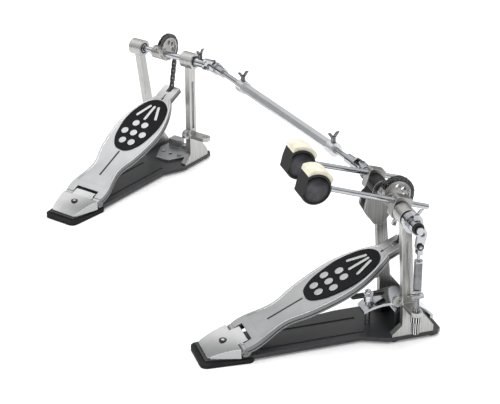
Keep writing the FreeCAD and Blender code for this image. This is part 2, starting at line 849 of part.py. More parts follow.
def beater_head(x, reach, degrees):
    mid_z = axle_z + rod_offset
    body = bar_x(-reach, mid_z, head_r, x - head_half, x + head_half)
    cap_r = (head_dome_r * head_dome_r + head_dome_rise * head_dome_rise) / (2 * head_dome_rise)
    for side in (-1, 1):
        ball_x = x + side * (head_half + head_dome_rise - cap_r)
        ball = Part.makeSphere(cap_r, vec(ball_x, -reach, mid_z))
        start = x + head_half if side > 0 else x - head_half - head_r
        body = fused(body, ball.common(bar_x(-reach, mid_z, head_r, start, start + head_r)))
    keep = slab(x - head_half - head_r, x + head_half + head_r, -reach - head_flat, -reach + head_r + overrun,
                mid_z - head_r - overrun, mid_z + head_r + overrun)
    body = body.common(keep)
    bore_start = vec(x, head_r - reach + overrun, mid_z)
    body = body.cut(cylinder(bore_start, -axis_y, rod_r + run_fit, head_r + overrun + head_tip + side_gap))
    return tilted(body.removeSplitter(), degrees)


def beater_felt(x, reach, degrees):
    mid_z = axle_z + rod_offset
    sleeve = bar_x(-reach, mid_z, head_r + felt_t, x - head_half, x + head_half)
    sleeve = sleeve.cut(bar_x(-reach, mid_z, head_r + felt_gap, x - head_half - overrun, x + head_half + overrun))
    keep = slab(x - head_half, x + head_half, -reach - head_flat, -reach + felt_front,
                mid_z + felt_low, mid_z + head_r + felt_t + overrun)
    return tilted(sleeve.common(keep), degrees)


right = (right_hub_x, right_reach, right_beater_angle)
left = (left_hub_x, left_reach, left_beater_angle)
for name, (hub_x, reach, angle) in (("right_beater", right), ("left_beater", left)):
    save(name + "_hub", beater_hub(hub_x, angle))
    save(name + "_screw", key_screw(hub_x, angle))
    save(name + "_rod", beater_rod(hub_x, reach, angle))
    save(name + "_head", beater_head(hub_x, reach, angle))
    save(name + "_felt", beater_felt(hub_x, reach, angle))


# Wing screw standing on a collar, along its own +Z
def wing_screw(tip, seat):
    stem = bar_z(0, 0, wing_stud_r, tip, seat + wing_rise)
    wing = profile_x([
        (-wing_half, seat + wing_rise + wing_height),
        (-wing_half / 2, seat + wing_rise + wing_height),
        (0, seat + wing_rise + wing_height / 3),
        (wing_half / 2, seat + wing_rise + wing_height),
        (wing_half, seat + wing_rise + wing_height),
        (wing_half / 3, seat + wing_rise),
        (-wing_half / 3, seat + wing_rise),
    ], -wing_t / 2, wing_t / 2)
    shoulder = bar_z(0, 0, wing_stud_r + wing_t / 2, seat + side_gap, seat + wing_rise + wing_t)
    return fused(stem, wing, shoulder)


# Spring rocker on the right end of the main axle
rocker_end = rocker_x + rocker_t
hub_end = rocker_end + rocker_hub_len
flange_start = rocker_end + rocker_flange_gap
arm_start = spring_x - rocker_arm_t / 2
arm_end = spring_x + rocker_arm_t / 2
rocker = fused(
    bar_x(0, axle_z, rocker_ring_r, rocker_x, rocker_end),
    bar_x(0, axle_z, rocker_hub_r, rocker_end, hub_end),
    bar_x(0, axle_z, rocker_flange_r, flange_start, flange_start + rocker_flange_t),
    strap(0, axle_z, rocker_ring_r, rocker_boss_y, rocker_boss_z, rocker_boss_r, arm_start, arm_end),
    strap(rocker_boss_y, rocker_boss_z, rocker_boss_r, spring_y, eye_z, eye_r, arm_start, arm_end),
)
rocker = rocker.cut(bar_x(0, axle_z, axle_r + press_gap, rocker_x - overrun, hub_end + overrun))
rocker = rocker.cut(bar_x(spring_y, eye_z, eye_pin_r + run_fit, arm_start - overrun, arm_end + overrun))
rocker = rocker.cut(bar_x(rocker_boss_y, rocker_boss_z, rocker_boss_r / 2, arm_start - overrun, arm_end + overrun))
rocker_screw_x = rocker_end + rocker_screw_share * rocker_hub_len
socket = bar_z(rocker_screw_x, 0, wing_stud_r + run_fit, axle_z, axle_z + rocker_hub_r + overrun)
save("spring_rocker", rocker.cut(socket).removeSplitter())
rocker_screw = wing_screw(axle_r + wing_tip_gap, rocker_hub_r)
save("rocker_wing_screw", moved(rocker_screw, rocker_screw_x, 0, axle_z))

# Hook between the rocker's eye and the spring
cheek_in = rocker_arm_t / 2 + clevis_gap
cheek_out = cheek_in + clevis_t
bridge_z = eye_z - clevis_reach - clevis_bridge
hook = bar_x(spring_y, eye_z, eye_pin_r, spring_x - cheek_out, spring_x + cheek_out)
for side in (-1, 1):
    start = spring_x + cheek_in if side > 0 else spring_x - cheek_out
    cheek = slab(start, start + clevis_t, spring_y - clevis_half, spring_y + clevis_half, bridge_z, eye_z)
    hook = fused(hook, cheek, bar_x(spring_y, eye_z, clevis_half, start, start + clevis_t))
hook = fused(
    hook,
    slab(spring_x - cheek_out, spring_x + cheek_out, spring_y - clevis_half, spring_y + clevis_half,
         bridge_z, bridge_z + clevis_bridge),
    bar_z(spring_x, spring_y, eye_pin_r, spring_top_z, bridge_z),
    bar_z(spring_x, spring_y, spring_cap_r, spring_top_z, spring_top_z + spring_cap_t),
    bar_z(spring_x, spring_y, hook_stem_r, spring_top_z - hook_stem_len, spring_top_z),
)
save("spring_hook", hook)


# Return spring: one unbroken helical wire on circular arcs
def arc_between(a, corner, b):
    chord = b - a
    half = chord.Length / 2
    middle = (a + b) * 0.5
    out = corner - middle
    half_turn = math.atan2(out.Length, half)
    sagitta = half * math.tan(half_turn / 2)
    return Part.Arc(a, middle + out * (sagitta / out.Length), b).toShape()


def biarc(p0, t0, p1, t1):
    chord = p1 - p0
    both = t0 + t1
    square = 2 * (t0.dot(t1) - 1)
    linear = -2 * chord.dot(both)
    constant = chord.dot(chord)
    reach = (-linear - math.sqrt(linear * linear - 4 * square * constant)) / (2 * square)
    if reach < 0:
        reach = (-linear + math.sqrt(linear * linear - 4 * square * constant)) / (2 * square)
    c0 = p0 + t0 * reach
    c1 = p1 - t1 * reach
    joint = (c0 + c1) * 0.5
    return [arc_between(p0, c0, joint), arc_between(joint, c1, p1)]


coil_low = spring_low_z + spring_seat + wire_r
coil_high = spring_top_z - spring_seat - wire_r
coil_pitch = (coil_high - coil_low) / spring_turns


def coil_point(turns):
    angle = 2 * math.pi * turns
    return vec(spring_x + spring_r * math.cos(angle), spring_y + spring_r * math.sin(angle),
               coil_low + coil_pitch * turns)


def coil_tangent(turns):
    angle = 2 * math.pi * turns
    tangent = vec(-spring_r * math.sin(angle), spring_r * math.cos(angle), coil_pitch / (2 * math.pi))
    return tangent.normalize()


coil_edges = []
for step in range(4 * spring_turns):
    start = step / 4
    end = (step + 1) / 4
    coil_edges += biarc(coil_point(start), coil_tangent(start), coil_point(end), coil_tangent(end))
coil_path = Part.Wire(coil_edges)
coil_ring = Part.Wire([Part.Circle(coil_point(0), coil_tangent(0), wire_r).toShape()])
save("return_spring", coil_path.makePipeShell([coil_ring], True, False))
coil_points = [edge.valueAt((edge.FirstParameter + edge.LastParameter) / 2) for edge in coil_edges]
least_gap = min(
    (coil_points[i] - coil_points[j]).Length
    for i in range(len(coil_points))
    for j in range(i + 4, len(coil_points))
) - 2 * wire_r
print("least gap between spring turns %.2f mm" % least_gap)

# Spring rod through the lug, with its two nuts
spring_rod = fused(
    bar_z(spring_x, spring_y, spring_rod_r, spring_rod_low_z, spring_low_z),
    bar_z(spring_x, spring_y, spring_cap_r, spring_low_z - spring_cap_t, spring_low_z),
    cylinder(vec(spring_x, spring_y - barrel_half, spring_low_z - spring_cap_t - barrel_drop), axis_y,
             barrel_r, barrel_half + barrel_half),
)
save("spring_rod", spring_rod)
nut_top = lug_z
lock_top = nut_top - tension_nut_len - nut_gap
knurled = bar_z(spring_x, spring_y, tension_nut_r, nut_top - tension_nut_len, nut_top)


def hex_nut(radius, low, high):
    corners = []
    for step in range(6):
        angle = step * math.pi / 3
        corners.append((spring_x + radius * math.cos(angle), spring_y + radius * math.sin(angle)))
    return outline_z(corners, low, high)


locking = hex_nut(lock_nut_r, lock_top - lock_nut_len, lock_top)
upper_low = lug_z + lug_t
upper_nut = hex_nut(top_nut_r, upper_low, upper_low + top_nut_len)
thread_hole = bar_z(spring_x, spring_y, spring_rod_r + run_fit, lock_top - lock_nut_len - overrun,
                    upper_low + top_nut_len + overrun)
save("tension_nuts", group([nut.cut(thread_hole) for nut in (knurled, locking, upper_nut)]))

# Hoop clamp: a rocking bowed jaw on a bracket, worked by a bolt with a cross bar
bolt = fused(
    bar_z(0, bolt_y, bolt_r, base_top, bolt_bar_z),
    bar_z(0, bolt_y, bolt_collar_r, bolt_bar_z - bolt_bar_r - bolt_collar_t, bolt_bar_z),
    cylinder(vec(0, bolt_y - bolt_bar_len / 2, bolt_bar_z), axis_y, bolt_bar_r, bolt_bar_len),
    Part.makeSphere(bolt_bar_r, vec(0, bolt_y - bolt_bar_len / 2, bolt_bar_z)),
    Part.makeSphere(bolt_bar_r, vec(0, bolt_y + bolt_bar_len / 2, bolt_bar_z)),
    Part.makeSphere(bolt_ball_r, vec(0, bolt_y, bolt_bar_z + bolt_bar_r)),
)
save("main_t_bolt", bolt)
jaw_marks = ((jaw_rear_y, jaw_rear_z), (jaw_pivot_y, jaw_crown_z), (jaw_front_y, jaw_front_z))
lower_marks = [vec(-jaw_front_half, y, z) for y, z in jaw_marks]
upper_marks = [vec(-jaw_front_half, y, z + jaw_t) for y, z in jaw_marks]
jaw_front = Part.makeLine(upper_marks[2], lower_marks[2])
jaw_rear = Part.makeLine(lower_marks[0], upper_marks[0])
jaw_wire = Part.Wire([Part.Arc(*upper_marks).toShape(), jaw_front, Part.Arc(*lower_marks).toShape(), jaw_rear])
jaw = Part.Face(jaw_wire).extrude(vec(jaw_front_half + jaw_front_half, 0, 0))
lip = slab(-jaw_front_half, jaw_front_half, jaw_front_y - jaw_t, jaw_front_y, jaw_front_z - jaw_lip, jaw_front_z + jaw_t)
jaw_plan = outline_z(both_sides([
    (jaw_rear_half, jaw_rear_y),
    (jaw_half, jaw_pivot_y),
    (jaw_front_half, jaw_front_y),
]), base_top, jaw_crown_z + jaw_t + overrun)
jaw = fused(jaw, lip).common(jaw_plan)
web = slab(-jaw_half, jaw_half, jaw_pivot_y - jaw_pin_r, jaw_pivot_y + jaw_pin_r, jaw_pivot_z, jaw_crown_z + jaw_t / 2)
jaw = fused(jaw, web, bar_x(jaw_pivot_y, jaw_pivot_z, jaw_knuckle_r, -jaw_half, jaw_half))
jaw = jaw.cut(bar_x(jaw_pivot_y, jaw_pivot_z, jaw_pin_r + run_fit, -jaw_half - overrun, jaw_half + overrun))
jaw = jaw.cut(bar_z(0, bolt_y, bolt_r + run_fit, base_top, jaw_crown_z + jaw_t + overrun))
save("main_hoop_jaw", jaw.removeSplitter())
bracket = bar_x(jaw_pivot_y, jaw_pivot_z, jaw_pin_r, -jaw_half - cheek_gap - cheek_t, jaw_half + cheek_gap + cheek_t)
for side in (-1, 1):
    start = jaw_half + cheek_gap if side > 0 else -jaw_half - cheek_gap - cheek_t
    upright = slab(start, start + cheek_t, jaw_pivot_y - cheek_r, jaw_pivot_y + cheek_r, base_top, jaw_pivot_z)
    bracket = fused(bracket, upright, bar_x(jaw_pivot_y, jaw_pivot_z, cheek_r, start, start + cheek_t))
hoop_pad = slab(-hoop_pad_half, hoop_pad_half, hoop_pad_rear_y, hoop_pad_front_y, base_top, base_top + hoop_pad_t)
save("main_hoop_bracket", group([bracket, hoop_pad]))

# Shield-shaped plate on the front of the second pedal's base
shield = [
    (h * front_plate_half, front_plate_rear_y + y * front_plate_len)
    for y, h in zip(front_plate_y_shares, front_plate_half_shares)
]
front_plate = outline_z(both_sides(shield), base_top, base_top + front_plate_t)
for x_shares, block_rise in ((large_block_x_shares, large_block_rise), (small_block_x_shares, small_block_rise)):
    front_plate = fused(front_plate, slab(
        x_shares[0] * front_plate_half, x_shares[1] * front_plate_half,
        front_plate_rear_y + block_y_shares[0] * front_plate_len,
        front_plate_rear_y + block_y_shares[1] * front_plate_len,
        base_top, base_top + front_plate_t + block_rise))
front_hole_y = front_plate_rear_y + front_hole_share * front_plate_len
front_plate = front_plate.cut(bar_z(0, front_hole_y, front_plate_hole_r, foot_height, base_top + front_plate_t + overrun))
save("second_front_plate", to_second(front_plate))


# Universal joints. A yoke is drawn with its shaft along +X and its ears apart along Z
def yoke(neck, bore):
    ear_end = yoke_reach + yoke_flange_t
    body = bar_x(0, 0, yoke_flange_r, yoke_reach, ear_end)
    body = fused(body, bar_x(0, 0, yoke_neck_r, yoke_reach, ear_end + neck))
    for side in (-1, 1):
        low = yoke_ear_in if side > 0 else -yoke_ear_out
        high = low + yoke_ear_out - yoke_ear_in
        arm = slab(0, ear_end, -yoke_ear_half, yoke_ear_half, low, high)
        limit = bar_x(0, 0, yoke_flange_r, -yoke_ear_half - overrun, ear_end)
        body = fused(body, arm.common(limit), bar_z(0, 0, yoke_ear_half, low, high).common(limit))
    return body.cut(bar_z(0, 0, cross_arm_r + bore, -yoke_ear_out - overrun, yoke_ear_out + overrun))


# A yoke whose neck takes a separate rod
def bored_yoke(neck, bore, rod):
    start = yoke_reach + yoke_flange_t
    return yoke(neck, bore).cut(bar_x(0, 0, rod + press_gap, start, start + neck + overrun))


def cross():
    return fused(
        Part.makeSphere(cross_r, origin),
        bar_z(0, 0, cross_arm_r, -yoke_ear_out, yoke_ear_out),
        cylinder(vec(0, -yoke_ear_out, 0), axis_y, cross_arm_r, yoke_ear_out + yoke_ear_out),
    )


def pose(point, way, arm):
    side = arm.cross(way)
    return FreeCAD.Placement(point, FreeCAD.Rotation(way, side, arm, "XZY"))


def posed(shape, placement):
    result = shape.copy()
    result.Placement = placement.multiply(shape.Placement)
    return result


main_joint = vec(main_joint_x, 0, axle_z)
second_joint = second_pose.multVec(vec(second_joint_x, 0, axle_z))
shaft_way = (second_joint - main_joint).normalize()
shaft_len = (second_joint - main_joint).Length
shaft_side = axis_z.cross(shaft_way)
second_way = second_pose.Rotation.multVec(axis_x)

left_yoke = posed(bored_yoke(left_neck_len, run_fit, axle_r), pose(main_joint, axis_x, axis_z))
shaft_foot = main_joint_x + yoke_reach + yoke_flange_t
save("left_shaft", group([left_yoke, bar_x(0, axle_z, axle_r, shaft_foot, split_x - shaft_end_gap / 2)]))
save("main_joint_cross", posed(cross(), pose(main_joint, shaft_way, axis_z)))

shaft_pose = pose(main_joint, shaft_way, shaft_side)
rod_end = tube_start + main_rod_inside
rod_foot = yoke_reach + yoke_flange_t
rod_yoke = bored_yoke(neck_len, joint_play, shaft_rod_r)
main_rod = bar_x(0, 0, shaft_rod_r, rod_foot, rod_end)
save("drive_rod_main", group([posed(rod_yoke, shaft_pose), posed(main_rod, shaft_pose)]))

tube_end = shaft_len - tube_end_back
hex_points = []
for step in range(6):
    angle = (step + 0.5) * math.pi / 3
    hex_points.append((tube_r * math.cos(angle), tube_r * math.sin(angle)))
tube = profile_x(hex_points, tube_start, tube_end)
collar_ends = (tube_start, tube_end - tube_collar_len)
for start in collar_ends:
    tube = fused(tube, bar_x(0, 0, tube_collar_r, start, start + tube_collar_len))
tube = tube.cut(bar_x(0, 0, shaft_rod_r + shaft_fit, tube_start - overrun, tube_end + overrun))
drive_wing = wing_screw(shaft_rod_r + shaft_fit + wing_tip_gap, tube_collar_r)
tube_upright = pose(main_joint, shaft_way, axis_z)
wing_names = ("tube_wing_screw_main", "tube_wing_screw_second")
for name, start in zip(wing_names, collar_ends):
    mid = start + tube_collar_len / 2
    socket = cylinder(vec(mid, 0, 0), axis_y, wing_stud_r + run_fit, tube_collar_r + overrun)
    tube = tube.cut(socket)
    save(name, posed(moved(drive_wing, mid, 0, 0), tube_upright))
save("drive_tube", posed(tube.removeSplitter(), pose(main_joint, shaft_way, -shaft_side)))

back_pose = pose(second_joint, -shaft_way, shaft_side)
second_rod_end = tube_end_back + second_rod_inside
second_rod = bar_x(0, 0, shaft_rod_r, rod_foot, second_rod_end)
save("drive_rod_second", group([posed(rod_yoke, back_pose), posed(second_rod, back_pose)]))
save("second_joint_cross", posed(cross(), pose(second_joint, shaft_way, axis_z)))

yoke_mid = rod_foot + neck_len / 2
axle_yoke = bored_yoke(neck_len, run_fit, axle_r)
axle_yoke = axle_yoke.cut(bar_z(yoke_mid, 0, wing_stud_r + run_fit, 0, yoke_neck_r + overrun))
yoke_pose = pose(second_joint, -second_way, axis_z)
save("second_axle_yoke", posed(axle_yoke, yoke_pose))
yoke_wing = wing_screw(axle_r + wing_tip_gap, yoke_neck_r)
save("yoke_wing_screw", posed(moved(yoke_wing, yoke_mid, 0, 0), yoke_pose))
print("shaft length %.2f mm, chain leaves the cam at %.2f, %.2f" % (shaft_len, leave_y, leave_z))
print("toe pin at %.2f, %.2f" % (toe_y, toe_z))
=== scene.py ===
import math

import bmesh
import bpy
from mathutils import Matrix, Vector, noise


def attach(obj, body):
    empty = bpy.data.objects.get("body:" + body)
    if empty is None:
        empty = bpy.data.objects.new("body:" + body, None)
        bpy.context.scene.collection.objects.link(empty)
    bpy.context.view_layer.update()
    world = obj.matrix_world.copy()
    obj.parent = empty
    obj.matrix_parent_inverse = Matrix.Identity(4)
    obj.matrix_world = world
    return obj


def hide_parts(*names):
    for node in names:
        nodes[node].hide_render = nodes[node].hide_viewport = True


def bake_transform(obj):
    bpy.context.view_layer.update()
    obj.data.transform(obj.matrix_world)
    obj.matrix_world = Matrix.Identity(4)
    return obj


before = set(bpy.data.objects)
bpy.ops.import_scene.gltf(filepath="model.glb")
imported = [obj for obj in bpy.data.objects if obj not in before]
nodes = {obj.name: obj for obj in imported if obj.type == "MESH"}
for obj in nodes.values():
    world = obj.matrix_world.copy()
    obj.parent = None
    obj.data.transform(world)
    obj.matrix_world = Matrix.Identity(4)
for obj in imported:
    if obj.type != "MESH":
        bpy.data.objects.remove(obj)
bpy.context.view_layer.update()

MM = 0.001
AXLE_HEIGHT = 204 * MM

# Sizes of the pieces that are drawn here and of the solids that they sit on
SPRING_X = 74 * MM
SPRING_Y = 14 * MM
SPRING_LOW = 98.1 * MM
SPRING_HIGH = 137.9 * MM
SPRING_R = 5.2 * MM
SPRING_WIRE_R = 0.8 * MM
SPRING_TURNS = 23
THREAD_PITCH = 1.25 * MM
THREAD_LOW = 27 * MM
THREAD_HIGH = 93 * MM
NUT_R = 8 * MM
NUT_SUNK = 0.1 * MM
KNURL_RIDGES = 14
# Length of one band of a wave texture whose scale is 1
WAVE_BAND = 0.314
EYE = Vector((79.1, 14, 164)) * MM
ROD_OFFSET = 10 * MM
HEAD_R = 22 * MM
HEAD_HALF = 15 * MM
HEAD_FLAT = 16 * MM
FELT_T = 6 * MM
FELT_GAP = 0.25 * MM
FELT_RIM = 1.6 * MM
FELT_FRONT = 20 * MM
FELT_LOW = 12 * MM
TUFT_SIZE = 2.5 * MM
TUFT_HEIGHT = 0.3 * MM
TUFT_SINK = 0.6
LIP_MIDDLE_R = 20.4 * MM
LIP_SHORT = 0.3 * MM
RIGHT_BEATER = (34 * MM, 137.4 * MM, -18.9)
LEFT_BEATER = (-61 * MM, 123.4 * MM, -17.5)
HEEL_SCREW = Vector((0, -243, 0)) * MM
BOLT = Vector((0, -28, 0)) * MM
BOARD_FLOOR = 6.2 * MM
CREASES = ((49.3 * MM, 106.1 * MM), (234.2 * MM, 248.2 * MM))
CREASE_HALF = 0.9 * MM
STUD_ALONG = 250.7 * MM
CAM_MID = Vector((0, 9.5, 209.9)) * MM
CHAIN_R = 23 * MM
CHAIN_PITCH = 6.35 * MM
CHAIN_OUT = 3.15 * MM
CHAIN_LEAVE = Vector((0, 32.025, 205.252)) * MM
CHAIN_TOE = Vector((0, 16.607, 130.536)) * MM
MAIN_JOINT = Vector((-104, 0, 204)) * MM
SECOND_JOINT = Vector((-558.867, -86.553, 204)) * MM
JOINT_EAR_OUT = 9.5 * MM
STRAND_LINKS = 12
WRAP_LINKS = 10
MAIN_POSE = Matrix.Identity(4)
SECOND_TURN = math.radians(36.29)
SECOND_PLACE = Vector((-643.5, -148.7, 0)) * MM
SECOND_POSE = Matrix.Translation(SECOND_PLACE) @ Matrix.Rotation(SECOND_TURN, 4, "Z")
BOARD_TILT = math.radians(25)
BOARD_POSE = Matrix.Translation((0, -220 * MM, 18 * MM)) @ Matrix.Rotation(BOARD_TILT, 4, "X")
PLATE_SCREW_ACROSS = 17 * MM
PLATE_SCREW_Y = 12 * MM
PLATE_TOP = 13.9 * MM
PLATE_SCREW_R = 3.6 * MM
PLATE_SCREW_H = 2.6 * MM

# Turned profiles in millimetres: radius and height from the foot to the crown
DARK_STUD = ((1.3, -0.2), (1.3, 0.15), (0.8, 0.4), (0.2, 0.5))
PIN_HEAD = ((1.15, 0), (1.15, 0.3), (0.8, 0.48), (0.2, 0.54))
EYE_BUSH = ((4.7, -0.2), (4.9, 0.2), (4.7, 0.7), (4.2, 0.9), (2.6, 0.9), (2.4, 0.7))
EYE_PIN = ((2.5, 0.3), (2.5, 1.0), (1.9, 1.4), (0.3, 1.6))
JOINT_CAP = ((3.6, 0.05), (3.6, 0.5), (3.0, 0.8), (1.4, 0.7), (0.3, 0.9))

# Section of the thread in millimetres: radius round the rod and rise along it
THREAD_RIDGE = ((3.0, -0.5), (3.55, -0.1), (3.55, 0.1), (3.0, 0.5))
# Rows of the knurl in millimetres: height of its ridges and level over the floor
KNURL_ROWS = ((0.0, 47.4), (0.6, 48.1), (0.6, 55.9), (0.0, 56.6))
# Section of a lip in millimetres: out from the head's side and across the lip
LIP_SECTION = ((-0.4, -1.3), (0.6, -1.2), (1.0, -0.7), (1.0, 0.5), (0.7, 1.0), (-0.4, 1.2))
# Rows of the black crease strips, painted shade, in millimetres: half their width and height over the
# board's floor
CREASE_SHADE_ROWS = ((0.9, -1.9), (0.9, 0.08), (1.5, 0.08), (1.5, 0.22), (1.2, 0.34))

# Black rings on the main axle, painted shade in the gaps there, in millimetres: where each starts and ends
# along it, inner and outer radius
GAP_SHADE_RINGS = ((67.4, 69.3, 5.2, 10.6), (78.7, 80.3, 9.7, 12.6), (98.7, 100.6, 5.2, 8.4))
GAP_RING_RIM = 0.4

# Studio and camera: the focal length is in pixels of a picture of the given width
FLOOR_HALF = 40
FLOOR_GLOW = 0.16
WHITE = (1, 1, 1, 1)
SENSOR_WIDTH = 36
PICTURE_WIDTH = 500
PICTURE_FOCAL = 1602.5
CAMERA_PLACE = Vector((1.8354, -0.7882, 1.1682))
CAMERA_YAW = 0.30896
CAMERA_PITCH = 0.45349
CAMERA_ROLL = -0.0052


# An sRGB hex colour as linear light
def linear(code):
    parts = [int(code[i:i + 2], 16) / 255 for i in (1, 3, 5)]
    return tuple(p / 12.92 if p <= 0.04045 else ((p + 0.055) / 1.055) ** 2.4 for p in parts) + (1.0,)


# Give the sockets of a node their values or links
def connect(tree, node, inputs):
    for name, value in inputs.items():
        if isinstance(value, bpy.types.NodeSocket):
            tree.links.new(value, node.inputs[name])
        else:
            node.inputs[name].default_value = value


def add(tree, kind, inputs=None, **settings):
    node = tree.nodes.new(kind)
    for name, value in settings.items():
        setattr(node, name, value)
    connect(tree, node, inputs or {})
    return node


def start_material(name):
    material = bpy.data.materials.new(name)
    material.use_nodes = True
    tree = material.node_tree
    shader = tree.nodes["Principled BSDF"]
    place = add(tree, "ShaderNodeTexCoord").outputs["Object"]
    return material, tree, shader, place


# The normal of softly rounded edges, and a mask that is 0 on a face and 1 along a sharp edge
def worn_edges(tree, radius):
    soft = add(tree, "ShaderNodeBevel", {"Radius": radius}, samples=6).outputs["Normal"]
    flat = add(tree, "ShaderNodeNewGeometry").outputs["Normal"]
    match = add(tree, "ShaderNodeVectorMath", {
        0: soft, 1: flat}, operation="DOT_PRODUCT").outputs["Value"]
    edge = add(tree, "ShaderNodeMapRange", {
        "Value": match, "From Min": 0.985, "From Max": 0.86}).outputs["Result"]
    return soft, edge


# Cast aluminium, bead-blasted and tumbled: an even pale metal with a fine pebbled skin, cloudy,
# with polished edges
def cast_aluminium(name, tone, dark, shine, roughness, grain_mm, height_mm, edge_mm):
    material, tree, shader, place = start_material(name)
    grain = add(tree, "ShaderNodeTexNoise", {
        "Vector": place, "Scale": 1 / (grain_mm * MM), "Detail": 3.0}).outputs["Fac"]
    cloud = add(tree, "ShaderNodeTexNoise", {
        "Vector": place, "Scale": 1 / (26 * MM), "Detail": 5.0}).outputs["Fac"]
    patch = add(tree, "ShaderNodeMapRange", {
        "Value": cloud, "From Min": 0.33, "From Max": 0.67}).outputs["Result"]
    soft, edge = worn_edges(tree, edge_mm * MM)
    body = add(tree, "ShaderNodeMix", {
        0: patch, 6: linear(dark), 7: linear(tone)}, data_type="RGBA").outputs[2]
    colour = add(tree, "ShaderNodeMix", {
        0: edge, 6: body, 7: linear(shine)}, data_type="RGBA").outputs[2]
    rough = add(tree, "ShaderNodeMapRange", {
        "Value": grain, "To Min": roughness - 0.07, "To Max": roughness + 0.09}).outputs["Result"]
    gloss = add(tree, "ShaderNodeMix", {0: edge, 2: rough, 3: roughness * 0.6}).outputs[0]
    bump = add(tree, "ShaderNodeBump", {
        "Height": grain, "Distance": height_mm * MM, "Strength": 0.5, "Normal": soft})
    connect(tree, shader, {
        "Base Color": colour, "Roughness": gloss, "Normal": bump.outputs["Normal"], "Metallic": 1.0})
    return material


# Cast aluminium footboard, bead-blasted on top and milled along its sides: pale satin above with painted
# shade towards the heel end, greyer flanks that are painted shade, one dark line 1.5 mm wide along them
# painted as the shade of a groove, and rims polished from the waist on
def satin_board(name, pose, turn):
    material, tree, shader, place = start_material(name)
    own = add(tree, "ShaderNodeMapping", {
        "Vector": place, "Location": (pose @ BOARD_POSE).to_translation(),
        "Rotation": (BOARD_TILT, 0, turn)},
        vector_type="TEXTURE").outputs["Vector"]
    grain = add(tree, "ShaderNodeTexNoise", {
        "Vector": own, "Scale": 1 / (0.6 * MM), "Detail": 3.0}).outputs["Fac"]
    cloud = add(tree, "ShaderNodeTexNoise", {
        "Vector": own, "Scale": 1 / (30 * MM), "Detail": 5.0}).outputs["Fac"]
    patch = add(tree, "ShaderNodeMapRange", {
        "Value": cloud, "From Min": 0.33, "From Max": 0.67}).outputs["Result"]
    along = add(tree, "ShaderNodeSeparateXYZ", {"Vector": own})
    toe = add(tree, "ShaderNodeMapRange", {
        "Value": along.outputs["Y"], "From Min": 60 * MM, "From Max": 240 * MM}).outputs["Result"]
    # Painted shade: the top darkens from the toe towards the heel end
    shaded_heel_end = add(tree, "ShaderNodeMix", {
        0: patch, 6: linear("#a9aaab"), 7: linear("#b4b5b6")}, data_type="RGBA").outputs[2]
    satin = add(tree, "ShaderNodeMix", {
        0: toe, 6: shaded_heel_end, 7: linear("#d0d0d0")}, data_type="RGBA").outputs[2]
    soft, sharp = worn_edges(tree, 1.2 * MM)
    front = add(tree, "ShaderNodeMapRange", {
        "Value": along.outputs["Y"], "From Min": 38 * MM, "From Max": 50 * MM}).outputs["Result"]
    edge = add(tree, "ShaderNodeMath", {0: sharp, 1: front}, operation="MULTIPLY").outputs["Value"]
    face = add(tree, "ShaderNodeNewGeometry").outputs["Normal"]
    lean = add(tree, "ShaderNodeVectorMath", {
        0: face, 1: (math.cos(turn), math.sin(turn), 0)}, operation="DOT_PRODUCT").outputs["Value"]
    tilt = add(tree, "ShaderNodeMath", {0: lean}, operation="ABSOLUTE").outputs["Value"]
    # Painted shade: faces that lean sideways take a greyer tone
    shaded_flank = add(tree, "ShaderNodeMapRange", {
        "Value": tilt, "From Min": 0.5, "From Max": 0.75}).outputs["Result"]
    sides = add(tree, "ShaderNodeMix", {
        0: shaded_flank, 6: satin, 7: linear("#767778")}, data_type="RGBA").outputs[2]
    rims = add(tree, "ShaderNodeMix", {
        0: edge, 6: sides, 7: linear("#f0f0f0")}, data_type="RGBA").outputs[2]
    # Painted shade of a groove: a dark line 1.5 mm wide along the flanks
    away = add(tree, "ShaderNodeMath", {
        0: along.outputs["Z"], 1: 0.4 * MM}, operation="SUBTRACT").outputs["Value"]
    near = add(tree, "ShaderNodeMath", {0: away}, operation="ABSOLUTE").outputs["Value"]
    line = add(tree, "ShaderNodeMath", {0: near, 1: 0.75 * MM}, operation="LESS_THAN").outputs["Value"]
    painted_groove_shade = add(tree, "ShaderNodeMath", {0: line, 1: shaded_flank}, operation="MULTIPLY").outputs["Value"]
    colour = add(tree, "ShaderNodeMix", {
        0: painted_groove_shade, 6: rims, 7: linear("#161617")}, data_type="RGBA").outputs[2]
    rough = add(tree, "ShaderNodeMapRange", {
        "Value": grain, "To Min": 0.3, "To Max": 0.46}).outputs["Result"]
    gloss = add(tree, "ShaderNodeMix", {0: edge, 2: rough, 3: 0.2}).outputs[0]
    bump = add(tree, "ShaderNodeBump", {
        "Height": grain, "Distance": 0.05 * MM, "Strength": 0.5, "Normal": soft})
    connect(tree, shader, {
        "Base Color": colour, "Roughness": gloss, "Normal": bump.outputs["Normal"], "Metallic": 1.0})
    return material
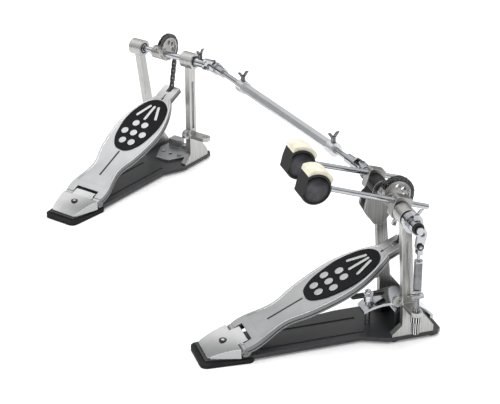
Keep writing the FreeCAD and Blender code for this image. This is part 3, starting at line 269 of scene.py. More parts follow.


# Cast aluminium, linished upright: streaks 1.2 mm wide run up the casting over a coarser sand skin, and
# the part above a given level takes another given tone
def streaked_casting(name, tone, dark, top_tone, roughness, top_from_mm):
    material, tree, shader, place = start_material(name)
    stretch = add(tree, "ShaderNodeMapping", {
        "Vector": place, "Scale": (1 / (1.2 * MM), 1 / (1.2 * MM), 1 / (60 * MM))}).outputs["Vector"]
    streak = add(tree, "ShaderNodeTexNoise", {
        "Vector": stretch, "Scale": 1.0, "Detail": 3.0}).outputs["Fac"]
    sand = add(tree, "ShaderNodeTexNoise", {
        "Vector": place, "Scale": 1 / (0.9 * MM), "Detail": 4.0}).outputs["Fac"]
    lines = add(tree, "ShaderNodeMapRange", {
        "Value": streak, "From Min": 0.3, "From Max": 0.7}).outputs["Result"]
    body = add(tree, "ShaderNodeMix", {
        0: lines, 6: linear(dark), 7: linear(tone)}, data_type="RGBA").outputs[2]
    height = add(tree, "ShaderNodeSeparateXYZ", {"Vector": place}).outputs["Z"]
    fade_mm = 2
    above_level = add(tree, "ShaderNodeMapRange", {
        "Value": height, "From Min": (top_from_mm - fade_mm) * MM,
        "From Max": (top_from_mm + fade_mm) * MM}).outputs["Result"]
    cast = add(tree, "ShaderNodeMix", {
        0: above_level, 6: body, 7: linear(top_tone)}, data_type="RGBA").outputs[2]
    soft, edge = worn_edges(tree, 1.0 * MM)
    colour = add(tree, "ShaderNodeMix", {
        0: edge, 6: cast, 7: linear("#dededc")}, data_type="RGBA").outputs[2]
    gloss = add(tree, "ShaderNodeMapRange", {
        "Value": sand, "To Min": roughness - 0.1, "To Max": roughness + 0.12}).outputs["Result"]
    bump = add(tree, "ShaderNodeBump", {
        "Height": sand, "Distance": 0.12 * MM, "Strength": 0.5, "Normal": soft})
    connect(tree, shader, {
        "Base Color": colour, "Roughness": gloss, "Normal": bump.outputs["Normal"], "Metallic": 1.0})
    return material


# Stainless heel plate with a painted highlight, bright towards one corner and greyer away from it, and
# painted shade on its sides
def heel_with_painted_highlight(name, pose, turn):
    material, tree, shader, place = start_material(name)
    own = add(tree, "ShaderNodeMapping", {
        "Vector": place, "Location": pose @ HEEL_SCREW, "Rotation": (0, 0, turn)},
        vector_type="TEXTURE").outputs["Vector"]
    wave = add(tree, "ShaderNodeTexNoise", {
        "Vector": own, "Scale": 1 / (40 * MM), "Detail": 2.0}).outputs["Fac"]
    reach = add(tree, "ShaderNodeVectorMath", {
        0: own, 1: (-0.75, 0.66, 0)}, operation="DOT_PRODUCT").outputs["Value"]
    blur = add(tree, "ShaderNodeMath", {
        0: wave, 1: 20 * MM, 2: reach}, operation="MULTIPLY_ADD").outputs["Value"]
    # Painted highlight: the plate brightens towards one corner, with a soft cloudy border
    painted_highlight = add(tree, "ShaderNodeMapRange", {
        "Value": blur, "From Min": -16 * MM, "From Max": 34 * MM},
        interpolation_type="SMOOTHSTEP").outputs["Result"]
    body = add(tree, "ShaderNodeMix", {
        0: painted_highlight, 6: linear("#989999"), 7: linear("#dedede")}, data_type="RGBA").outputs[2]
    face = add(tree, "ShaderNodeNewGeometry").outputs["Normal"]
    rise = add(tree, "ShaderNodeSeparateXYZ", {"Vector": face}).outputs["Z"]
    # Painted shade: faces that do not look up take a duller tone
    painted_side_shade = add(tree, "ShaderNodeMapRange", {
        "Value": rise, "From Min": 0.85, "From Max": 0.6}).outputs["Result"]
    sides = add(tree, "ShaderNodeMix", {
        0: painted_side_shade, 6: body, 7: linear("#a5a6a7")}, data_type="RGBA").outputs[2]
    soft, edge = worn_edges(tree, 1.0 * MM)
    colour = add(tree, "ShaderNodeMix", {
        0: edge, 6: sides, 7: linear("#f4f4f4")}, data_type="RGBA").outputs[2]
    gloss = add(tree, "ShaderNodeMapRange", {
        "Value": wave, "To Min": 0.16, "To Max": 0.3}).outputs["Result"]
    connect(tree, shader, {
        "Base Color": colour, "Roughness": gloss, "Normal": soft, "Metallic": 1.0})
    return material


# Steel brushed along X: long fine scratches that stretch the highlights
def brushed_steel(name, tone, dark, roughness):
    material, tree, shader, place = start_material(name)
    stretch = add(tree, "ShaderNodeMapping", {
        "Vector": place, "Scale": (1 / (30 * MM), 1 / (0.5 * MM), 1 / (0.5 * MM))}).outputs["Vector"]
    lines = add(tree, "ShaderNodeTexNoise", {
        "Vector": stretch, "Scale": 1.0, "Detail": 2.0}).outputs["Fac"]
    spread = add(tree, "ShaderNodeMapRange", {
        "Value": lines, "From Min": 0.25, "From Max": 0.75}).outputs["Result"]
    soft, edge = worn_edges(tree, 0.9 * MM)
    body = add(tree, "ShaderNodeMix", {
        0: spread, 6: linear(dark), 7: linear(tone)}, data_type="RGBA").outputs[2]
    colour = add(tree, "ShaderNodeMix", {
        0: edge, 6: body, 7: linear("#f2f2f2")}, data_type="RGBA").outputs[2]
    gloss = add(tree, "ShaderNodeMapRange", {
        "Value": lines, "To Min": roughness - 0.08, "To Max": roughness + 0.1}).outputs["Result"]
    bump = add(tree, "ShaderNodeBump", {
        "Height": lines, "Distance": 0.04 * MM, "Strength": 0.4, "Normal": soft})
    connect(tree, shader, {
        "Base Color": colour, "Roughness": gloss, "Normal": bump.outputs["Normal"], "Metallic": 1.0,
        "Anisotropic": 0.5})
    return material


# Bearing steel, ground, with a moulded seal: bright races either side of a dark ring, round the axle
def sealed_bearing(name, place_of_pedal, turn):
    material, tree, shader, place = start_material(name)
    own = add(tree, "ShaderNodeMapping", {
        "Vector": place, "Location": place_of_pedal + Vector((0, 0, AXLE_HEIGHT)),
        "Rotation": (0, 0, turn)},
        vector_type="TEXTURE").outputs["Vector"]
    flat = add(tree, "ShaderNodeVectorMath", {
        0: own, 1: (0, 1, 1)}, operation="MULTIPLY").outputs["Vector"]
    far = add(tree, "ShaderNodeVectorMath", {0: flat}, operation="LENGTH").outputs["Value"]
    inner = add(tree, "ShaderNodeMath", {
        0: far, 1: 6.4 * MM}, operation="GREATER_THAN").outputs["Value"]
    outer = add(tree, "ShaderNodeMath", {0: far, 1: 9.4 * MM}, operation="LESS_THAN").outputs["Value"]
    seal = add(tree, "ShaderNodeMath", {0: inner, 1: outer}, operation="MULTIPLY").outputs["Value"]
    grit = add(tree, "ShaderNodeTexNoise", {
        "Vector": place, "Scale": 1 / (0.6 * MM), "Detail": 2.0}).outputs["Fac"]
    race = add(tree, "ShaderNodeMix", {
        0: grit, 6: linear("#8e9092"), 7: linear("#b9bbbd")}, data_type="RGBA").outputs[2]
    colour = add(tree, "ShaderNodeMix", {
        0: seal, 6: race, 7: linear("#161617")}, data_type="RGBA").outputs[2]
    gloss = add(tree, "ShaderNodeMix", {0: seal, 2: 0.25, 3: 0.6}).outputs[0]
    metal = add(tree, "ShaderNodeMath", {0: 1.0, 1: seal}, operation="SUBTRACT").outputs["Value"]
    connect(tree, shader, {
        "Base Color": colour, "Roughness": gloss, "Metallic": metal})
    return material


# Chromed or plated steel, polished first: a near mirror with a faint haze and handling marks
def chromed_steel(name, tone, dark, roughness):
    material, tree, shader, place = start_material(name)
    haze = add(tree, "ShaderNodeTexNoise", {
        "Vector": place, "Scale": 1 / (9 * MM), "Detail": 5.0}).outputs["Fac"]
    spread = add(tree, "ShaderNodeMapRange", {
        "Value": haze, "From Min": 0.3, "From Max": 0.7}).outputs["Result"]
    colour = add(tree, "ShaderNodeMix", {
        0: spread, 6: linear(dark), 7: linear(tone)}, data_type="RGBA").outputs[2]
    gloss = add(tree, "ShaderNodeMapRange", {
        "Value": haze, "To Min": roughness * 0.7, "To Max": roughness * 1.5}).outputs["Result"]
    soft = add(tree, "ShaderNodeBevel", {"Radius": 0.5 * MM}, samples=6).outputs["Normal"]
    connect(tree, shader, {
        "Base Color": colour, "Roughness": gloss, "Normal": soft, "Metallic": 1.0})
    return material


# Powder coat or black oxide on steel: satin black with a fine orange-peel skin, rubbed grey along
# the edges
def powder_coat(name, tone, worn, rub, roughness, peel_mm):
    material, tree, shader, place = start_material(name)
    peel = add(tree, "ShaderNodeTexNoise", {
        "Vector": place, "Scale": 1 / (peel_mm * MM), "Detail": 2.0}).outputs["Fac"]
    cloud = add(tree, "ShaderNodeTexNoise", {
        "Vector": place, "Scale": 1 / (35 * MM), "Detail": 6.0}).outputs["Fac"]
    spread = add(tree, "ShaderNodeMapRange", {
        "Value": cloud, "From Min": 0.35, "From Max": 0.8}).outputs["Result"]
    soft, edge = worn_edges(tree, 0.8 * MM)
    body = add(tree, "ShaderNodeMix", {
        0: spread, 6: linear(tone), 7: linear(worn)}, data_type="RGBA").outputs[2]
    colour = add(tree, "ShaderNodeMix", {0: edge, 6: body, 7: linear(rub)}, data_type="RGBA").outputs[2]
    gloss = add(tree, "ShaderNodeMapRange", {
        "Value": cloud, "To Min": roughness - 0.08, "To Max": roughness + 0.12}).outputs["Result"]
    bump = add(tree, "ShaderNodeBump", {
        "Height": peel, "Distance": 0.06 * MM, "Strength": 0.5, "Normal": soft})
    connect(tree, shader, {
        "Base Color": colour, "Roughness": gloss, "Normal": bump.outputs["Normal"]})
    return material


# Black oxide screw, turned, with a bright metal disc 4.2 mm across at the middle of its head
def socket_oxide(name, centre):
    material, tree, shader, place = start_material(name)
    way = add(tree, "ShaderNodeVectorMath", {
        0: place, 1: centre}, operation="SUBTRACT").outputs["Vector"]
    level = add(tree, "ShaderNodeVectorMath", {
        0: way, 1: (1, 1, 0)}, operation="MULTIPLY").outputs["Vector"]
    far = add(tree, "ShaderNodeVectorMath", {0: level}, operation="LENGTH").outputs["Value"]
    rings = add(tree, "ShaderNodeMath", {
        0: far, 1: 2 * math.pi / (0.5 * MM)}, operation="MULTIPLY").outputs["Value"]
    turned = add(tree, "ShaderNodeMath", {0: rings}, operation="SINE").outputs["Value"]
    socket = add(tree, "ShaderNodeMapRange", {
        "Value": far, "From Min": 2.5 * MM, "From Max": 2.1 * MM}).outputs["Result"]
    black = add(tree, "ShaderNodeMix", {
        0: turned, 6: linear("#101011"), 7: linear("#1d1d1f")}, data_type="RGBA").outputs[2]
    colour = add(tree, "ShaderNodeMix", {
        0: socket, 6: black, 7: linear("#e6e6e6")}, data_type="RGBA").outputs[2]
    bump = add(tree, "ShaderNodeBump", {"Height": turned, "Distance": 0.03 * MM, "Strength": 0.3})
    connect(tree, shader, {
        "Base Color": colour, "Metallic": socket, "Normal": bump.outputs["Normal"], "Roughness": 0.34})
    return material


# Plated bolt with a dipped cross bar: bright steel in the middle, black vinyl on both ends of the bar
def dipped_bolt(name, centre):
    material, tree, shader, place = start_material(name)
    way = add(tree, "ShaderNodeVectorMath", {
        0: place, 1: centre}, operation="SUBTRACT").outputs["Vector"]
    level = add(tree, "ShaderNodeVectorMath", {
        0: way, 1: (1, 1, 0)}, operation="MULTIPLY").outputs["Vector"]
    far = add(tree, "ShaderNodeVectorMath", {0: level}, operation="LENGTH").outputs["Value"]
    dip = add(tree, "ShaderNodeMath", {0: far, 1: 7.4 * MM}, operation="GREATER_THAN").outputs["Value"]
    haze = add(tree, "ShaderNodeTexNoise", {
        "Vector": place, "Scale": 1 / (4 * MM), "Detail": 4.0}).outputs["Fac"]
    bright = add(tree, "ShaderNodeMix", {
        0: haze, 6: linear("#b4b6b9"), 7: linear("#dcdddf")}, data_type="RGBA").outputs[2]
    colour = add(tree, "ShaderNodeMix", {
        0: dip, 6: bright, 7: linear("#141415")}, data_type="RGBA").outputs[2]
    metal = add(tree, "ShaderNodeMath", {0: 1.0, 1: dip}, operation="SUBTRACT").outputs["Value"]
    gloss = add(tree, "ShaderNodeMapRange", {
        "Value": haze, "To Min": 0.12, "To Max": 0.34}).outputs["Result"]
    soft = add(tree, "ShaderNodeBevel", {"Radius": 0.6 * MM}, samples=6).outputs["Normal"]
    connect(tree, shader, {
        "Base Color": colour, "Metallic": metal, "Roughness": gloss, "Normal": soft})
    return material


# Moulded rubber: matt black with a cast pebble grain and pale dust
def moulded_rubber(name, tone, dust, grain_mm, height_mm):
    material, tree, shader, place = start_material(name)
    grain = add(tree, "ShaderNodeTexVoronoi", {
        "Vector": place, "Scale": 1 / (grain_mm * MM)}).outputs["Distance"]
    cloud = add(tree, "ShaderNodeTexNoise", {
        "Vector": place, "Scale": 1 / (20 * MM), "Detail": 6.0}).outputs["Fac"]
    spread = add(tree, "ShaderNodeMapRange", {
        "Value": cloud, "From Min": 0.35, "From Max": 0.85}).outputs["Result"]
    colour = add(tree, "ShaderNodeMix", {
        0: spread, 6: linear(tone), 7: linear(dust)}, data_type="RGBA").outputs[2]
    gloss = add(tree, "ShaderNodeMapRange", {
        "Value": cloud, "To Min": 0.62, "To Max": 0.85}).outputs["Result"]
    bump = add(tree, "ShaderNodeBump", {"Height": grain, "Distance": height_mm * MM, "Strength": 0.6})
    connect(tree, shader, {
        "Base Color": colour, "Roughness": gloss, "Normal": bump.outputs["Normal"],
        "Specular IOR Level": 0.15})
    return material


# Pressed wool felt: cream, with tangled fibres about 0.8 mm apart and a soft sheen
def pressed_felt(name, tone, shade):
    material, tree, shader, place = start_material(name)
    fibres = add(tree, "ShaderNodeTexNoise", {
        "Vector": place, "Scale": 1 / (0.8 * MM), "Detail": 6.0, "Roughness": 0.7,
        "Distortion": 1.5}).outputs["Fac"]
    cloud = add(tree, "ShaderNodeTexNoise", {
        "Vector": place, "Scale": 1 / (9 * MM), "Detail": 3.0}).outputs["Fac"]
    both = add(tree, "ShaderNodeMath", {0: fibres, 1: cloud}, operation="ADD").outputs["Value"]
    spread = add(tree, "ShaderNodeMapRange", {
        "Value": both, "From Min": 0.7, "From Max": 1.2}).outputs["Result"]
    colour = add(tree, "ShaderNodeMix", {
        0: spread, 6: linear(shade), 7: linear(tone)}, data_type="RGBA").outputs[2]
    bump = add(tree, "ShaderNodeBump", {"Height": fibres, "Distance": 0.5 * MM, "Strength": 0.7})
    connect(tree, shader, {
        "Base Color": colour, "Normal": bump.outputs["Normal"], "Roughness": 0.95,
        "Sheen Weight": 0.35, "Sheen Roughness": 0.5, "Specular IOR Level": 0.15})
    return material


# Drawn aluminium tube, silver lacquered: a pale even coat with a soft gloss and faint handling marks
def lacquered_tube(name, tone, dark):
    material, tree, shader, place = start_material(name)
    cloud = add(tree, "ShaderNodeTexNoise", {
        "Vector": place, "Scale": 1 / (30 * MM), "Detail": 4.0}).outputs["Fac"]
    colour = add(tree, "ShaderNodeMix", {
        0: cloud, 6: linear(dark), 7: linear(tone)}, data_type="RGBA").outputs[2]
    gloss = add(tree, "ShaderNodeMapRange", {
        "Value": cloud, "To Min": 0.24, "To Max": 0.38}).outputs["Result"]
    soft = add(tree, "ShaderNodeBevel", {"Radius": 0.8 * MM}, samples=6).outputs["Normal"]
    connect(tree, shader, {
        "Base Color": colour, "Roughness": gloss, "Normal": soft, "Metallic": 0.78})
    return material


# Where a beater's head sits: the axle's line tilted to the beater's rest angle
def beater_tilt(degrees):
    return Matrix.Translation((0, 0, AXLE_HEIGHT)) @ Matrix.Rotation(math.radians(degrees), 4, "X")


# Injection-moulded ABS beater head: black and satin on its domes, each with a painted highlight as a paler
# crown and a painted shadow of the lips as a near-black ring round it, spark-eroded on its flat face, with
# rubbed grey edges
def moulded_head(name, beater):
    material, tree, shader, place = start_material(name)
    hub_x, reach, degrees = beater
    own = add(tree, "ShaderNodeMapping", {
        "Vector": place, "Location": beater_tilt(degrees) @ Vector((hub_x, -reach, ROD_OFFSET)),
        "Rotation": (math.radians(degrees), 0, 0)}, vector_type="TEXTURE").outputs["Vector"]
    spark = add(tree, "ShaderNodeTexNoise", {
        "Vector": own, "Scale": 1 / (0.7 * MM), "Detail": 3.0}).outputs["Fac"]
    cloud = add(tree, "ShaderNodeTexNoise", {
        "Vector": own, "Scale": 1 / (14 * MM), "Detail": 3.0}).outputs["Fac"]
    spread = add(tree, "ShaderNodeMapRange", {
        "Value": cloud, "From Min": 0.35, "From Max": 0.7}).outputs["Result"]
    axes = add(tree, "ShaderNodeSeparateXYZ", {"Vector": own})
    round_axis = add(tree, "ShaderNodeCombineXYZ", {
        "Y": axes.outputs["Y"], "Z": axes.outputs["Z"]}).outputs["Vector"]
    radius = add(tree, "ShaderNodeVectorMath", {0: round_axis}, operation="LENGTH").outputs["Value"]
    # Painted shadow of the lips: a near-black ring round each dome
    ring = add(tree, "ShaderNodeMapRange", {
        "Value": radius, "From Min": 13 * MM, "From Max": 18 * MM}).outputs["Result"]
    flat = add(tree, "ShaderNodeMapRange", {
        "Value": axes.outputs["Y"], "From Min": -HEAD_FLAT + 0.9 * MM,
        "From Max": -HEAD_FLAT + 0.3 * MM}).outputs["Result"]
    soft, edge = worn_edges(tree, 1.0 * MM)
    # Painted highlight: the crown of each dome is paler
    crown = add(tree, "ShaderNodeMix", {
        0: spread, 6: linear("#303033"), 7: linear("#4e4e53")}, data_type="RGBA").outputs[2]
    dome = add(tree, "ShaderNodeMix", {
        0: ring, 6: crown, 7: linear("#060607")}, data_type="RGBA").outputs[2]
    body = add(tree, "ShaderNodeMix", {
        0: flat, 6: dome, 7: linear("#0b0b0c")}, data_type="RGBA").outputs[2]
    colour = add(tree, "ShaderNodeMix", {
        0: edge, 6: body, 7: linear("#4c4c4f")}, data_type="RGBA").outputs[2]
    gloss = add(tree, "ShaderNodeMix", {0: flat, 2: 0.26, 3: 0.5}).outputs[0]
    bump = add(tree, "ShaderNodeBump", {
        "Height": spark, "Distance": 0.03 * MM, "Strength": 0.3, "Normal": soft})
    connect(tree, shader, {
        "Base Color": colour, "Roughness": gloss, "Normal": bump.outputs["Normal"], "IOR": 1.53,
        "Specular IOR Level": 0.18})
    return material


# Threaded steel, rolled and plated: rings 1.25 mm apart along Z, with painted shade in part of each ring
# for the thread's groove
def threaded_steel(name, tone, dark):
    material, tree, shader, place = start_material(name)
    rings = add(tree, "ShaderNodeTexWave", {
        "Vector": place, "Scale": WAVE_BAND / THREAD_PITCH}, bands_direction="Z").outputs["Fac"]
    # Painted shade of the grooves: the tone darkens once in every 1.25 mm
    colour = add(tree, "ShaderNodeMix", {
        0: rings, 6: linear(dark), 7: linear(tone)}, data_type="RGBA").outputs[2]
    bump = add(tree, "ShaderNodeBump", {"Height": rings, "Distance": 0.5 * MM, "Strength": 0.8})
    connect(tree, shader, {
        "Base Color": colour, "Normal": bump.outputs["Normal"], "Metallic": 1.0, "Roughness": 0.3})
    return material


# Knurled steel, plated: upright ridges cut round the nuts, drawn coarser than real ones so that they show,
# with painted shade between the ridges
def knurled_steel(name, tone, dark):
    material, tree, shader, place = start_material(name)
    centred = add(tree, "ShaderNodeMapping", {
        "Vector": place, "Location": (-SPRING_X, -SPRING_Y, 0)}).outputs["Vector"]
    around = add(tree, "ShaderNodeTexGradient", {
        "Vector": centred}, gradient_type="RADIAL").outputs["Fac"]
    turn = add(tree, "ShaderNodeMath", {
        0: around, 1: KNURL_RIDGES * 2 * math.pi}, operation="MULTIPLY").outputs["Value"]
    ridge = add(tree, "ShaderNodeMath", {0: turn}, operation="SINE").outputs["Value"]
    # Painted shade: the tone darkens between the ridges
    colour = add(tree, "ShaderNodeMix", {
        0: ridge, 6: linear(dark), 7: linear(tone)}, data_type="RGBA").outputs[2]
    bump = add(tree, "ShaderNodeBump", {"Height": ridge, "Distance": 0.5 * MM, "Strength": 0.8})
    connect(tree, shader, {
        "Base Color": colour, "Normal": bump.outputs["Normal"], "Metallic": 1.0, "Roughness": 0.28})
    return material


main_board_alloy = satin_board("satin_cast_aluminium_main", MAIN_POSE, 0)
second_board_alloy = satin_board("satin_cast_aluminium_second", SECOND_POSE, SECOND_TURN)
cam_alloy = cast_aluminium("tumbled_cast_aluminium", "#aaa9a7", "#8c8b89", "#e2e1de", 0.33, 0.8, 0.08, 0.9)
grey_alloy = cast_aluminium("dull_cast_aluminium", "#a5a7a8", "#8e9092", "#d8d9d9", 0.44, 0.8, 0.1, 0.9)
tube_alloy = lacquered_tube("silver_lacquered_aluminium", "#d2d3d5", "#c8c9cc")
post_alloy = streaked_casting("linished_cast_aluminium", "#bcbcba", "#a1a19f", "#b4b4b2", 0.36, 400)
# A darker copy of the linished casting for the main pedal's left post, as painted shade, with a near-black
# tone above 193 mm
shaded_clamp_post_alloy = streaked_casting(
    "linished_cast_aluminium_painted_shade", "#9c9c9a", "#767674", "#38383a", 0.4, 193)
main_heel_steel = heel_with_painted_highlight("heel_steel_painted_highlight_main", MAIN_POSE, 0)
second_heel_steel = heel_with_painted_highlight("heel_steel_painted_highlight_second", SECOND_POSE, SECOND_TURN)
cross_steel = brushed_steel("ground_bearing_steel", "#6a6b6d", "#3e3f41", 0.34)
main_bearing_steel = sealed_bearing("sealed_bearing_steel_main", Vector((0, 0, 0)), 0)
second_bearing_steel = sealed_bearing("sealed_bearing_steel_second", SECOND_PLACE, SECOND_TURN)
chrome = chromed_steel("chromed_steel", "#b7b9bc", "#a9abaf", 0.1)
bright_screw = chromed_steel("zinc_plated_screw_steel", "#b4b6b9", "#989a9e", 0.2)
pin_steel = chromed_steel("dark_polished_pin_steel", "#77797c", "#4c4e50", 0.2)
spring_steel = chromed_steel("plated_spring_wire", "#a4a6a9", "#85888c", 0.28)
black_coat = powder_coat("black_powder_coated_steel", "#1f2022", "#2f3034", "#5a5b5e", 0.38, 0.9)
wing_steel = chromed_steel("dark_nickel_plated_wing_steel", "#7f8185", "#4e5054", 0.14)
chain_steel = powder_coat("black_oxide_chain_steel", "#161617", "#2b2b2c", "#6f7072", 0.3, 0.5)
# Black coat for the nylon eye bush, and for the strips and rings put as painted shade in creases and gaps
black_nylon_and_shade_coat = powder_coat("black_nylon_and_painted_shade", "#0b0b0c", "#161617", "#202021", 0.45, 0.7)
main_heel_oxide = socket_oxide("black_oxide_heel_screw_main", HEEL_SCREW)
second_heel_oxide = socket_oxide("black_oxide_heel_screw_second", SECOND_POSE @ HEEL_SCREW)
bolt_steel = dipped_bolt("plated_steel_with_dipped_bar", BOLT)
boot_rubber = moulded_rubber("moulded_black_rubber", "#1a1a1b", "#2c2c2c", 1.4, 0.15)
grip_rubber = moulded_rubber("fine_grip_rubber", "#121215", "#1d1d20", 1.0, 0.12)
felt = pressed_felt("pressed_wool_felt", "#efead8", "#d6cfb6")
right_head_abs = moulded_head("moulded_black_abs_right", RIGHT_BEATER)
left_head_abs = moulded_head("moulded_black_abs_left", LEFT_BEATER)
lip_abs = powder_coat("moulded_black_abs_lip", "#08080a", "#101012", "#2c2c2e", 0.3, 0.7)
thread_steel = threaded_steel("threaded_plated_steel", "#e2e3e4", "#54565a")
knurl_steel = knurled_steel("knurled_plated_steel", "#eeeff0", "#141517")

finishes = {
    "base_plate": black_coat,
    "rubber_feet": boot_rubber,
    "hinge_pin": pin_steel,
    "grip_pad": grip_rubber,
    "left_post": post_alloy,
    "right_post": post_alloy,
    "axle": chrome,
    "cam": cam_alloy,
    "cam_screw": bright_screw,
    "chain_wrap": chain_steel,
    "chain_strand": chain_steel,
}
finish_of = {}
for pedal in ("main_", "second_"):
    for piece, finish in finishes.items():
        finish_of[pedal + piece] = finish
finish_of.update({
    "main_hoop_bracket": black_coat,
    "main_hoop_jaw": chrome,
    "main_t_bolt": bolt_steel,
    "main_footboard": main_board_alloy,
    "second_footboard": second_board_alloy,
    "main_heel_plate": main_heel_steel,
    "second_heel_plate": second_heel_steel,
    "main_left_post": shaded_clamp_post_alloy,
    "main_bearings": main_bearing_steel,
    "second_bearings": second_bearing_steel,
    "main_heel_screw": main_heel_oxide,
    "second_heel_screw": second_heel_oxide,
    "second_front_plate": grey_alloy,
    "spring_rocker": chrome,
    "rocker_wing_screw": bright_screw,
    "spring_hook": bright_screw,
    "return_spring": spring_steel,
    "spring_rod": thread_steel,
    "tension_nuts": knurl_steel,
    "right_beater_hub": cam_alloy,
    "right_beater_screw": bright_screw,
    "right_beater_rod": chrome,
    "right_beater_head": right_head_abs,
    "right_beater_felt": felt,
    "left_beater_hub": cam_alloy,
    "left_beater_screw": bright_screw,
    "left_beater_rod": chrome,
    "left_beater_head": left_head_abs,
    "left_beater_felt": felt,
    "left_shaft": chrome,
    "main_joint_cross": cross_steel,
    "drive_rod_main": chrome,
    "drive_tube": tube_alloy,
    "tube_wing_screw_main": wing_steel,
    "tube_wing_screw_second": wing_steel,
    "drive_rod_second": chrome,
    "second_joint_cross": cross_steel,
    "second_axle_yoke": chrome,
    "yoke_wing_screw": wing_steel,
})
for name, finish in finish_of.items():
    nodes[name].data.materials.clear()
    nodes[name].data.materials.append(finish)


# New pieces: walls of four corners are smooth, and end caps with more corners are flat
def finish_piece(name, mesh, material):
    bmesh.ops.recalc_face_normals(mesh, faces=mesh.faces)
    data = bpy.data.meshes.new(name)
    mesh.to_mesh(data)
    mesh.free()
    obj = bpy.data.objects.new(name, data)
    bpy.context.scene.collection.objects.link(obj)
    data.materials.append(material)
    for polygon in data.polygons:
        polygon.use_smooth = len(polygon.vertices) <= 4
    return obj


# Walls between two rows of points that close on themselves
def bridge(mesh, low, high):
    for i in range(len(low)):
        after = (i + 1) % len(low)
        mesh.faces.new((low[i], low[after], high[after], high[i]))


# Join rows of points into one closed skin: each row lists the points of a closed section
def skin(mesh, rows):
    for low, high in zip(rows, rows[1:]):
        bridge(mesh, low, high)
    mesh.faces.new(list(reversed(rows[0])))
    mesh.faces.new(rows[-1])


def turned_point(radius_mm, height_mm, angle):
    radius = radius_mm * MM
    return Vector((radius * math.cos(angle), radius * math.sin(angle), height_mm * MM))


# A turned form round the axis of a pose, from its profile
def turn_on(mesh, pose, profile, sides):
    rows = []
    for radius_mm, height_mm in profile:
        row = []
        for side in range(sides):
            angle = 2 * math.pi * side / sides
            row.append(mesh.verts.new(pose @ turned_point(radius_mm, height_mm, angle)))
        rows.append(row)
    skin(mesh, rows)


# Return spring: a helical wire from the rod up to the rocker
def make_spring():
    steps = 20 * SPRING_TURNS
    sides = 8
    mesh = bmesh.new()
    rings = []
    for step in range(steps + 1):
        turn = 2 * math.pi * SPRING_TURNS * step / steps
        out = Vector((math.cos(turn), math.sin(turn), 0))
        level = SPRING_LOW + (SPRING_HIGH - SPRING_LOW) * step / steps
        centre = Vector((SPRING_X, SPRING_Y, level)) + out * SPRING_R
        ring = []
        for side in range(sides):
            angle = 2 * math.pi * side / sides
            ring.append(mesh.verts.new(centre + SPRING_WIRE_R * (
                out * math.cos(angle) + Vector((0, 0, math.sin(angle))))))
        rings.append(ring)
    skin(mesh, rings)
    return finish_piece("return_spring_coil", mesh, spring_steel)


spring = make_spring()
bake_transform(spring)
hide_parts("return_spring")


# Rolled thread on the spring rod: one ridge that winds up it
def make_thread():
    turns = (THREAD_HIGH - THREAD_LOW) / THREAD_PITCH
    steps = round(18 * turns)
    mesh = bmesh.new()
    rows = []
    for step in range(steps + 1):
        angle = 2 * math.pi * turns * step / steps
        level = THREAD_LOW + (THREAD_HIGH - THREAD_LOW) * step / steps
        row = []
        for radius_mm, rise_mm in THREAD_RIDGE:
            radius = radius_mm * MM
            row.append(mesh.verts.new((
                SPRING_X + radius * math.cos(angle), SPRING_Y + radius * math.sin(angle),
                level + rise_mm * MM)))
        rows.append(row)
    skin(mesh, rows)
    obj = finish_piece("spring_rod_thread", mesh, thread_steel)
    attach(obj, "main_frame")


# Knurl round the tension nut: ridges that stand out from it, bevelled at both ends
def make_knurl():
    steps = 6 * KNURL_RIDGES
    mesh = bmesh.new()
    rows = []
    for height_mm, level_mm in KNURL_ROWS:
        row = []
        for step in range(steps):
            angle = 2 * math.pi * step / steps
            ridge = max(0.0, math.sin(KNURL_RIDGES * angle))
            radius = NUT_R - NUT_SUNK + ridge * height_mm * MM
            row.append(mesh.verts.new((
                SPRING_X + radius * math.cos(angle), SPRING_Y + radius * math.sin(angle), level_mm * MM)))
        rows.append(row)
    skin(mesh, rows)
    obj = finish_piece("tension_nut_knurl", mesh, knurl_steel)
    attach(obj, "tension_nuts")


make_thread()
make_knurl()


# Beater felts: a thick strip wrapped over the head, with rounded rims and a tufted skin
def make_felt(name, beater, node, body):
    hub_x, reach, degrees = beater
    inner = HEAD_R + FELT_GAP
    outer = HEAD_R + FELT_T
    half = HEAD_HALF
    rim = FELT_RIM
    corner = [(rim * (1 - math.cos(a)), outer - rim + rim * math.sin(a)) for a in (0, 0.5, 1.1)]
    section = [(-half, inner)]
    section += [(-half + across, radius) for across, radius in corner]
    section += [(-half + rim + (2 * half - 2 * rim) * i / 12, outer) for i in range(13)]
    section += [(half - across, radius) for across, radius in reversed(corner)]
    section += [(half - 2 * half * i / 8, inner) for i in range(8)]
    tilt = beater_tilt(degrees)
    mesh = bmesh.new()
    rows = []
    steps = 40
    for step in range(steps + 1):
        row = []
        for x, radius in section:
            far = -math.asin(HEAD_FLAT / radius)
            near = min(math.asin(FELT_FRONT / radius), math.acos(FELT_LOW / radius))
            angle = far + (near - far) * step / steps
            point = Vector((
                hub_x + x, -reach + radius * math.sin(angle), ROD_OFFSET + radius * math.cos(angle)))
            if radius > inner + rim / 2 and 0 < step < steps:
                way = Vector((0, math.sin(angle), math.cos(angle)))
                point += way * (noise.noise(point / TUFT_SIZE) - TUFT_SINK) * TUFT_HEIGHT
            row.append(mesh.verts.new(tilt @ point))
        rows.append(row)
    skin(mesh, rows)
    obj = finish_piece(name, mesh, felt)
    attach(obj, body)
    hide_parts(node)


